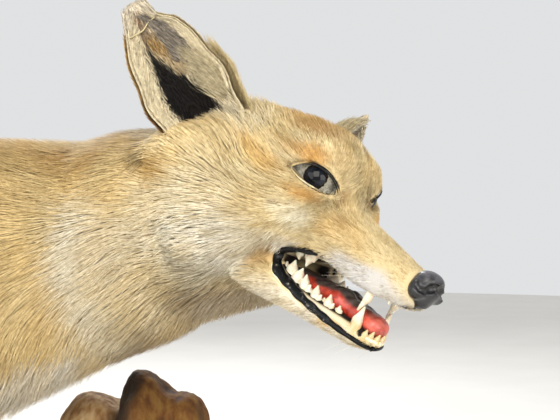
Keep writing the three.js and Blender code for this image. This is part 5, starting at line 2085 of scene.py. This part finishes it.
@dataclass(frozen=True)
class Mouth:
    """Lips, gums, teeth, tongue and palate.

    Attributes:
        fox: The outline they sit in.
    """

    fox: Fox

    LIP = (
        (-19.3, -28.2), (-24.0, -26.5), (-30.4, -25.7), (-39.3, -24.4), (-47.2, -23.0), (-55.4, -21.3),
        (-64.2, -18.8), (-71.2, -16.8), (-77.0, -14.3), (-80.8, -10.6), (-81.0, -6.8), (-78.3, -4.4),
        (-73.8, -2.4), (-68.1, -0.6), (-62.4, 0.3), (-58.1, 0.7),
    )
    CORNER = 0.7  # how far along that line the mouth's corner is
    TEETH_STEP = 0.5

    def skin(self, q: Array) -> Array:
        """The skin's form in the head's frame, closed over the gape, with both lips on it."""
        return self.fox.shut(q) + self.fox.depth(HEAD.out(q))

    def on_side(self, places: Sequence[tuple[float, float]], side: float, count: int) -> tuple[Array, Array]:
        """Points and outward vectors of the head's flank at places in x and z."""
        line = along_path([(x, 0, z) for x, z in places], count)
        out = np.tile(unit(np.array([0, side, 0.0])), (count, 1))
        points = outer_hit(self.skin, line, out, 60)
        _, slope = slope_of(self.skin, points)
        return points, unit(slope)

    def lips(self, black: bpy.types.Material, cream: bpy.types.Material) -> None:
        """The lacquered lips, each a band round a corner of the mouth, and the cream line under the lower."""
        for side in SIDES:
            name = "left" if side > 0 else "right"
            points, out = self.on_side(self.LIP, side, 130)
            t = np.linspace(0, 1, 130)
            stops = (0, 0.25, 0.4, 0.5, 0.6, self.CORNER, 0.76, 0.83, 0.95, 1)
            half = np.interp(t, stops, (1.0, 2.0, 2.2, 2.8, 2.9, 2.5, 2.2, 1.4, 1.4, 0.5))
            half = half * (1 + 0.1 * np.sin(t * 63))
            points = points + out * 0.4
            finish(tube(f"lip_{name}", points, out, half, 1.2 + 0.15 * np.sin(t * 41)), black, "nose_skin")
            low = t < self.CORNER - 0.02
            across = unit(np.cross(np.gradient(points, axis=0), out))
            across *= np.sign(across[:, 2:3]) * -1
            edge = settled(self.skin, (points + across * (half + 0.2)[:, None])[low], 0.2)
            width = 0.38 + 0.2 * np.sin(t[low] * 57)
            finish(tube(f"lip_edge_{name}", edge, out[low], width, 0.5), cream, "pale_coat")
        self._front_lip(black)

    def _front_lip(self, black: bpy.types.Material) -> None:
        """The lip's black edge round the chin's front."""
        turn = np.linspace(-1.25, 1.25, 36)
        line = np.stack([-20 + 1.0 * np.cos(turn), np.zeros(36), np.full(36, -27.6)], axis=1)
        out = np.stack([np.cos(turn), np.sin(turn), np.zeros(36)], axis=1)
        points = outer_hit(self.skin, line, out, 30)
        _, slope = slope_of(self.skin, points)
        finish(tube("lip_front", points + unit(slope) * 0.4, unit(slope), 1.3, 1.1), black, "nose_skin")

    def gums(self, cream: bpy.types.Material) -> None:
        """The painted gums that the teeth stand in."""
        rows = {
            "lower_gum": (
                (-79, 15.8, -15.5), (-68, 15.6, -17.2), (-54, 14.2, -19.2), (-40, 11.4, -20.6),
                (-30, 9.6, -22.4), (-24, 7.6, -23.4), (-18.6, 4.4, -24.2), (-17, 0, -24.4),
            ),
            "upper_gum": (
                (-78, 13.4, -0.4), (-66, 13.0, 0.8), (-56, 12.0, 4.0), (-40, 10.0, 5.0),
                (-26, 8.6, 1.5), (-18, 6.8, 0.5), (-13.6, 4.0, 0.3), (-12.4, 0, 0.3),
            ),
        }
        for name, row in rows.items():
            left = along_path(row, 60)
            path = np.concatenate([left, left[-2::-1] * [1, -1, 1]])
            out = np.tile(np.array([0, 0, 1.0]), (len(path), 1))
            t = np.linspace(0, 1, len(path))
            half = (1.2 + 0.1 * np.sin(t * 90)) * ends_drawn(len(path), 0.03)
            finish(tube(name, path, out, half, half * 0.95), cream, "pale_coat")

    def teeth(self, ivory: bpy.types.Material) -> None:
        """Both rows of teeth, each one mesh."""
        boxes = (("teeth_upper", UPPER_TEETH, (-80, -26, -16), (-6, 26, 6)),
                 ("teeth_lower", LOWER_TEETH, (-84, -26, -30), (-10, 26, -3)))
        for name, row, low, high in boxes:
            forms = [tooth.form(side) for side in SIDES for tooth in row]

            def nearest(q: Array, forms: list[Form] = forms) -> Array:
                return np.minimum.reduce([form(q) for form in forms])

            points, faces = net_of(nearest, low, high, self.TEETH_STEP)
            made = mesh_object(name, points, faces, HEAD)
            up = name == "teeth_lower"
            foot = -20.5 if up else 1.0
            root = smooth(points[:, 2], foot + 3, foot) if up else smooth(points[:, 2], foot - 3, foot)
            tone = linear("#dfd9c8") + (linear("#c6a768") - linear("#dfd9c8")) * (0.7 * root)[:, None]
            paint(made, tone * (1 + 0.04 * ripple(points, 4, 71))[:, None])
            finish(made, ivory, "pale_coat")

    def tongue(self, material: bpy.types.Material) -> None:
        """The tongue, furrowed down its middle, its top grey with dust."""
        back = limb([-84, 0, -18], [-46, 0, -16], 7.2, 6.4, 1.5)
        tip = limb([-46, 0, -16], [-22, 0, -18.2], 6.4, 5.3, 1.3)
        deep = limb([-80, 0, -9.4], [-46, 0, -8.4], 1.4, 1.2, 1.6)
        furrow = blend(1, deep, limb([-46, 0, -8.4], [-26, 0, -11.8], 1.2, 0.8))

        def form(q: Array) -> Array:
            wave = 0.28 * np.sin(q[:, 0] * 0.9 + 2 * np.sin(q[:, 1] * 0.7)) * smooth(q[:, 2], -16, -11)
            return carve(2.0, blend(5, back, tip), furrow)(q) + wave

        points, faces = net_of(form, [-96, -16, -30], [-10, 16, -2], 0.9)
        made = mesh_object("tongue_cast", points, faces, HEAD)
        tip = smooth(points[:, 0], -31, -19)
        crown = np.interp(points[:, 0], (-84, -46, -22), (-11.0, -9.6, -12.9))
        dust = smooth(points[:, 2] - crown + 0.7 * ripple(points, 5, 81), -3.8, -1.4) * (1 - 0.6 * tip)
        tone = linear("#c8432f") + (linear("#dc6452") - linear("#c8432f")) * tip[:, None]
        tone = tone + (linear("#4d4541") - tone) * dust[:, None]
        # Darker red towards the bottom, where the tongue meets the floor of the mouth: painted shade.
        paint(made, tone + (linear("#5a1712") - tone) * (0.6 * smooth(points[:, 2], -18, -22))[:, None])
        finish(made, material, "tongue")
        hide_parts("tongue")

    def palate(self, cream: bpy.types.Material) -> None:
        """Thin pale ridges across the black roof."""
        for n, x in enumerate((-71.0, -68.0, -65.0, -62.0, -59.0)):
            y = np.linspace(-11, 11, 24)
            bend = x + 4.5 * (1 - (y / 11) ** 2)
            path = np.stack([bend, y, self.fox.roof(bend, y) - 0.3], axis=1)
            out = np.tile(np.array([0, 0, -1.0]), (24, 1))
            finish(tube(f"palate_ridge_{n + 1}", path, out, 0.35 * ends_drawn(24), 0.4), cream, "nose_skin")


# ---- Claws and long hairs ----


def horn_finish() -> bpy.types.Material:
    """Claw horn: dark brown, paler along the tip, polished by wear."""
    made = Finish("claw_horn", Gloss(rough=0.35, coat=0.15))
    streak = noise(made.tree, made.coords, 0.8, 3.0, (5, 1, 5))
    return made.colour(ramp(made.tree, streak, (0.3, "#2b2018"), (0.7, "#6d5a45"))).material


def make_claws(fox: Fox, material: bpy.types.Material) -> None:
    """Sixteen curved claws, one piece a foot."""
    for side in SIDES:
        for kind in fox.FOOT:
            bpy.ops.object.select_all(action="DESELECT")
            made = []
            for x, y, z in fox.toe_places(side, kind):
                bpy.ops.mesh.primitive_cone_add(
                    vertices=12, radius1=2.3, radius2=0.4, depth=13, end_fill_type="NGON"
                )
                claw = bpy.context.object
                only(claw)
                bpy.ops.object.mode_set(mode="EDIT")
                bpy.ops.mesh.select_all(action="SELECT")
                bpy.ops.mesh.subdivide(number_cuts=2)
                bpy.ops.object.mode_set(mode="OBJECT")
                local = read_points(claw)
                along = (local[:, 2] + 6.5) / 13
                down = 1.0 + 6.5 * along**2
                high = np.maximum(z + local[:, 0] - down + 2, 0.5)
                place = np.stack([x + 7 + 12 * along, y + 0.8 * local[:, 1], high], axis=1)
                write_points(claw, place)
                bpy.ops.object.shade_smooth()
                made.append(claw)
            bpy.ops.object.select_all(action="DESELECT")
            for claw in made:
                claw.select_set(True)
            bpy.context.view_layer.objects.active = made[0]
            bpy.ops.object.join()
            made[0].name = f"claws_{kind}_{'left' if side > 0 else 'right'}"
            finish(facing_out(made[0]), material, "dark_coat")


def whisker_finish() -> bpy.types.Material:
    """Whisker bristle: stiff, near white and a little glossy."""
    made = Finish("whisker_bristle", Gloss(rough=0.35, glow=0.1))
    flicker = noise(made.tree, made.coords, 6, 2.0)
    return made.colour(ramp(made.tree, flicker, (0.3, "#cfc4aa"), (0.7, "#f1ecdf"))).material


def make_whiskers(fox: Fox, material: bpy.types.Material) -> None:
    """A few long bristles on the lips' pads and under the chin."""
    rng = np.random.default_rng(7)
    on_lip = [(-22, 12, 2), (-28, 14, 4), (-33, 15, 0), (-38, 16, 4), (-26, 13, -2)]
    on_chin = [(-26, 6, -29), (-32, 5, -30)]
    roots = on_lip + on_chin
    for side in SIDES:
        parts, count = [], 0
        for n, root in enumerate(roots):
            start = settled(fox.head, np.array([root]) * [1, side, 1], -1.0)[0]
            spread, rise, most = (0.7, -0.25, (10, 18)) if n < len(on_lip) else (0.3, -1.0, (8, 13))
            way = unit(np.array([-0.5 - 0.05 * n, side * spread, rise]))
            length = rng.uniform(*most)
            t = np.linspace(0, 1, 9)
            sag = np.array([-0.4, 0, -0.35]) * (length * 0.45)
            path = start + way * (length * t)[:, None] + sag * (t**2)[:, None]
            across = np.tile(unit(np.cross(way, [0.3, 0, 1.0])), (9, 1))
            thin = 0.1 * (1 - 0.85 * t)
            points, faces = sweep(path, across, unit(np.cross(across, way)), thin, thin, 4)
            parts.append((points, faces + count))
            count += len(points)
        name = "whiskers_left" if side > 0 else "whiskers_right"
        points, faces = (np.concatenate(lot) for lot in zip(*parts))
        made = mesh_object(name, points, faces, HEAD)
        finish(facing_out(made), material, "pale_coat")


# ---- Stand ----


def stump_finish() -> bpy.types.Material:
    """Weathered root wood: tan, split along the grain every few millimetres, with a dark old stain."""
    made = Finish("weathered_root_wood", Gloss(rough=0.75, specular=0.3))
    grain = noise(made.tree, made.coords, 5.0, 7.0, (1, 1, 4.5))
    tone = ramp(made.tree, grain, (0.25, "#6d4a2c"), (0.45, "#b98d5c"), (0.6, "#d9b98a"), (0.8, "#ecd9b5"))
    stain = noise(made.tree, made.coords, 34, 5.0)
    share = ramp(made.tree, stain, (0.4, "#000000"), (0.62, "#8a8a8a"))
    tone = made.mixed(share, tone, "#7a5636")
    made.colour(made.mixed(1.0, tone, made.painted(), "MULTIPLY"))
    return made.bump(grain, 1.6, 0.9).material


def board_finish() -> bpy.types.Material:
    """A slab of dark hardwood under worn varnish: grain a few millimetres wide along its length."""
    made = Finish("varnished_hardwood", Gloss(rough=0.38, coat=0.35, coat_rough=0.2))
    wide = noise(made.tree, made.coords, 22, 3.0, (9, 1, 1.4))
    fine = noise(made.tree, made.coords, 1.6, 4.0, (18, 1, 1))
    tone = ramp(made.tree, wide, (0.3, "#3a1d10"), (0.5, "#5b2f1a"), (0.68, "#7a4526"))
    shade = ramp(made.tree, fine, (0.3, "#9a8a80"), (0.65, "#ffffff"))
    made.colour(made.mixed(1.0, tone, shade, "MULTIPLY"))
    made.rough(wide, 0.3, 0.5)
    return made.bump(fine, 0.25, 0.6).material


@dataclass(frozen=True)
class Stand:
    """The root stump under the chest and the board under the feet."""

    LENGTH = 590.0
    WIDTH = 226.0
    THICK = 32.0
    BEVEL = 5.0
    WANDER = 5.0
    STEP = 2.4

    def fissure(self) -> Form:
        """The old split between the stump's two heads."""
        upper = limb([206, 30, 240], [206, 14, 190], 4.5, 3.6)
        return blend(3, upper, limb([206, 14, 190], [210, 6, 120], 3.6, 1.6))

    def stump_form(self, fox: Fox) -> Form:
        """The stump's form in the fox's frame, clear of the coat."""
        roots = []
        for degrees in (20, 140, 262):
            a = math.radians(degrees)
            end = [218 + 62 * math.cos(a), 44 + 42 * math.sin(a), 2]
            roots.append(limb([218, 44, 26], end, 26, 10))
        foot = blend(16, limb([220, 42, 0], [206, 50, 160], 44, 36, 0.9), *roots)
        lobes = (
            egg([189, 48, 180], [33, 32, 45], 26), egg([225, 44, 191], [21, 31, 51], 16),
            egg([246, 42, 206], [13, 15, 20]), egg([252, 48, 184], [13, 16, 15]),
            egg([234, 20, 110], [20, 14, 24]), egg([237, 48, 211], [12, 13, 14]),
        )
        whole = carve(4, blend(9, foot, *lobes), self.fissure())

        def form(p: Array) -> Array:
            ridges = 0.9 * ripple(p * [1, 1, 0.25], 9, 91) + 0.45 * ripple(p * [1, 1, 0.3], 3.6, 92)
            knots = 1.6 * ripple(p * [1, 1, 0.6], 22, 93)
            d = whole(p) - (ridges + knots) * 0.8 + 0.9
            d = np.maximum(d, 3.4 - fox.outline(p))
            return np.maximum(d, 0.4 - p[:, 2])

        return form

    def stump(self, fox: Fox, material: bpy.types.Material) -> None:
        """Builds the stump."""
        form = self.stump_form(fox)
        points, faces = net_of(form, [100, -60, -4], [320, 130, 262], self.STEP)
        made = mesh_object("root_stump", points, faces)
        # Near black along the split between the stump's heads: painted shade deep in the fissure.
        fissure_shade = smooth(self.fissure()(points) + 1.5 * ripple(points, 12, 94), 13, 4)
        # The grooves between the wood's ridges painted darker: painted shade in them.
        hollow = smooth(ripple(points * [1, 1, 0.25], 9, 91), -0.3, -1.4)
        tone = np.array([0.62, 0.60, 0.56]) * (1 - 0.55 * hollow)[:, None]
        # The stump's right end painted darker and olive: painted shade on that side, though the mask is named
        # old.
        old = smooth(points[:, 0], 204, 220)[:, None]
        tone = tone * (1 - old * (1 - linear("#ac945f")))
        paint(made, tone + (linear("#221d1a") - tone) * (0.92 * fissure_shade)[:, None])
        finish(made, material, "stump_wood")
        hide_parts("stand_stump")

    def board(self, material: bpy.types.Material) -> None:
        """Builds the board: a ring of corners, filled, raised and bevelled."""
        bpy.ops.object.select_all(action="DESELECT")
        bpy.ops.mesh.primitive_circle_add(vertices=384, radius=1.0, fill_type="NGON")
        made = bpy.context.object
        made.name = "wood_board"
        only(made)
        bpy.ops.object.mode_set(mode="EDIT")
        bpy.ops.mesh.select_all(action="SELECT")
        bpy.ops.mesh.extrude_region_move(TRANSFORM_OT_translate={"value": (0, 0, 1.0)})
        bpy.ops.object.mode_set(mode="OBJECT")
        local = read_points(made)
        turn = np.arctan2(local[:, 1], local[:, 0])
        edge = 1 + self.WANDER / self.WIDTH * (np.sin(3 * turn + 1) + 0.6 * np.sin(7 * turn))

        def square(v: Array) -> Array:
            return np.sign(v) * np.abs(v) ** 0.62

        lean = 1 - 0.006 * local[:, 2]
        x = (self.LENGTH / 2 - self.WANDER) * square(np.cos(turn)) * edge * lean
        y = (self.WIDTH / 2 - self.WANDER) * square(np.sin(turn)) * edge * lean
        place = np.stack([x, y, local[:, 2] * self.THICK], axis=1)
        made.data.vertices.foreach_set("co", (place * MM).astype(np.float32).ravel())
        made.data.update()
        facing_out(made)
        bevel = made.modifiers.new("edge", "BEVEL")
        bevel.width = self.BEVEL * MM * 0.8
        bevel.segments = 4
        bevel.limit_method = "ANGLE"
        bevel.angle_limit = math.radians(50)
        only(made)
        bpy.ops.object.modifier_apply(modifier="edge")
        bpy.ops.object.shade_smooth_by_angle(angle=math.radians(35))
        finish(made, material, "board_wood")
        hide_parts("stand_board")


# ---- Studio ----


@dataclass(frozen=True)
class Lamp:
    """A soft square lamp aimed at a point.

    Attributes:
        name: What it is called.
        at: Its place in metres.
        aim: The point it faces.
        size: Its side in metres.
        power: In watts.
        tint: Its sRGB hex colour.
    """

    name: str
    at: tuple[float, float, float]
    aim: tuple[float, float, float]
    size: float
    power: float
    tint: str = "#ffffff"

    def lit(self) -> None:
        """Adds it to the scene."""
        bpy.ops.object.select_all(action="DESELECT")
        bpy.ops.object.light_add(type="AREA", location=self.at)
        lamp = bpy.context.object
        lamp.name = self.name
        lamp.rotation_euler = (Vector(self.aim) - Vector(self.at)).to_track_quat("-Z", "Y").to_euler()
        lamp.data.size = self.size
        lamp.data.energy = self.power
        lamp.data.color = linear(self.tint)


LAMPS = (
    Lamp("key", (0.4, -1.6, 1.3), (0.15, 0.0, 0.3), 1.2, 24.0, "#fff8ee"),
    Lamp("fill", (-1.0, -1.6, 1.0), (0.1, 0.0, 0.25), 1.6, 19.0, "#fbfaf6"),
    Lamp("front", (1.3, -0.9, 0.5), (0.25, 0.0, 0.3), 0.8, 7.5, "#fffaf2"),
    Lamp("rim", (-0.5, 1.4, 1.5), (0.1, 0.0, 0.35), 1.0, 24.0, "#ffffff"),
)


def make_camera() -> None:
    """The camera, at the fox's front right and level with its chin."""
    bpy.ops.object.camera_add(location=(0.453, -0.543, 0.372), rotation=(math.pi / 2, 0, math.radians(15)))
    camera = bpy.context.object
    camera.data.lens = 64.29
    camera.data.sensor_width = 36.0
    camera.data.clip_start = 0.02
    bpy.context.scene.camera = camera


def make_room() -> None:
    """A plain pale floor, pale air and soft lamps."""
    bpy.ops.object.select_all(action="DESELECT")
    bpy.ops.mesh.primitive_circle_add(vertices=96, radius=4.0, fill_type="NGON", location=(0, 0, -0.0006))
    floor = bpy.context.object
    floor.name = "floor"
    bpy.ops.object.transform_apply(location=True)
    paper = Finish("pale_paper", Gloss(rough=0.9, specular=0.2))
    mottle = noise(paper.tree, paper.coords, 180, 3.0)
    paper.colour(ramp(paper.tree, mottle, (0.3, "#dedcd7"), (0.7, "#e3e1dc")))
    floor.data.materials.append(paper.material)
    world = bpy.data.worlds.new("pale_air")
    bpy.context.scene.world = world
    world.use_nodes = True
    world.node_tree.nodes["Background"].inputs["Color"].default_value = socket_colour("#e6e7e8")
    world.node_tree.nodes["Background"].inputs["Strength"].default_value = 0.95
    for lamp in LAMPS:
        lamp.lit()
    bpy.context.scene.view_settings.view_transform = "Standard"


FLESH = ("head", "lower_jaw", "neck", "chest", "belly", "rump")


def main() -> None:
    """Builds the whole scene."""
    logging.basicConfig(level=logging.INFO, format="%(message)s")
    make_camera()
    fox = Fox()
    markings = Markings(fox)
    skin = Skin(fox, markings)
    fur, hide = fur_finish(), hide_finish()
    finish(skin.made, hide, "coat")
    flesh = [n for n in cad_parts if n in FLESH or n.startswith(("tail", "fore", "hind"))]
    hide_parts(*flesh)
    coat = Coat(skin, markings, fur)
    for seed, growth in enumerate(GROWTHS, 100):
        coat.grow(growth, seed)
    black, cream = lacquer_finish(), cream_paint_finish()
    glass, putty = glass_finish(), putty_finish()
    for side in SIDES:
        dress_ear(side, hide, fur)
        Eye(side, skin).build(glass, putty, black, cream)
    Nose().build(nose_finish())
    mouth = Mouth(fox)
    mouth.lips(black, cream)
    mouth.gums(cream)
    mouth.teeth(ivory_finish())
    mouth.tongue(tongue_finish())
    mouth.palate(cream)
    make_claws(fox, horn_finish())
    make_whiskers(fox, whisker_finish())
    stand = Stand()
    stand.stump(fox, stump_finish())
    stand.board(board_finish())
    make_room()


if __name__ == "__main__":
    main()
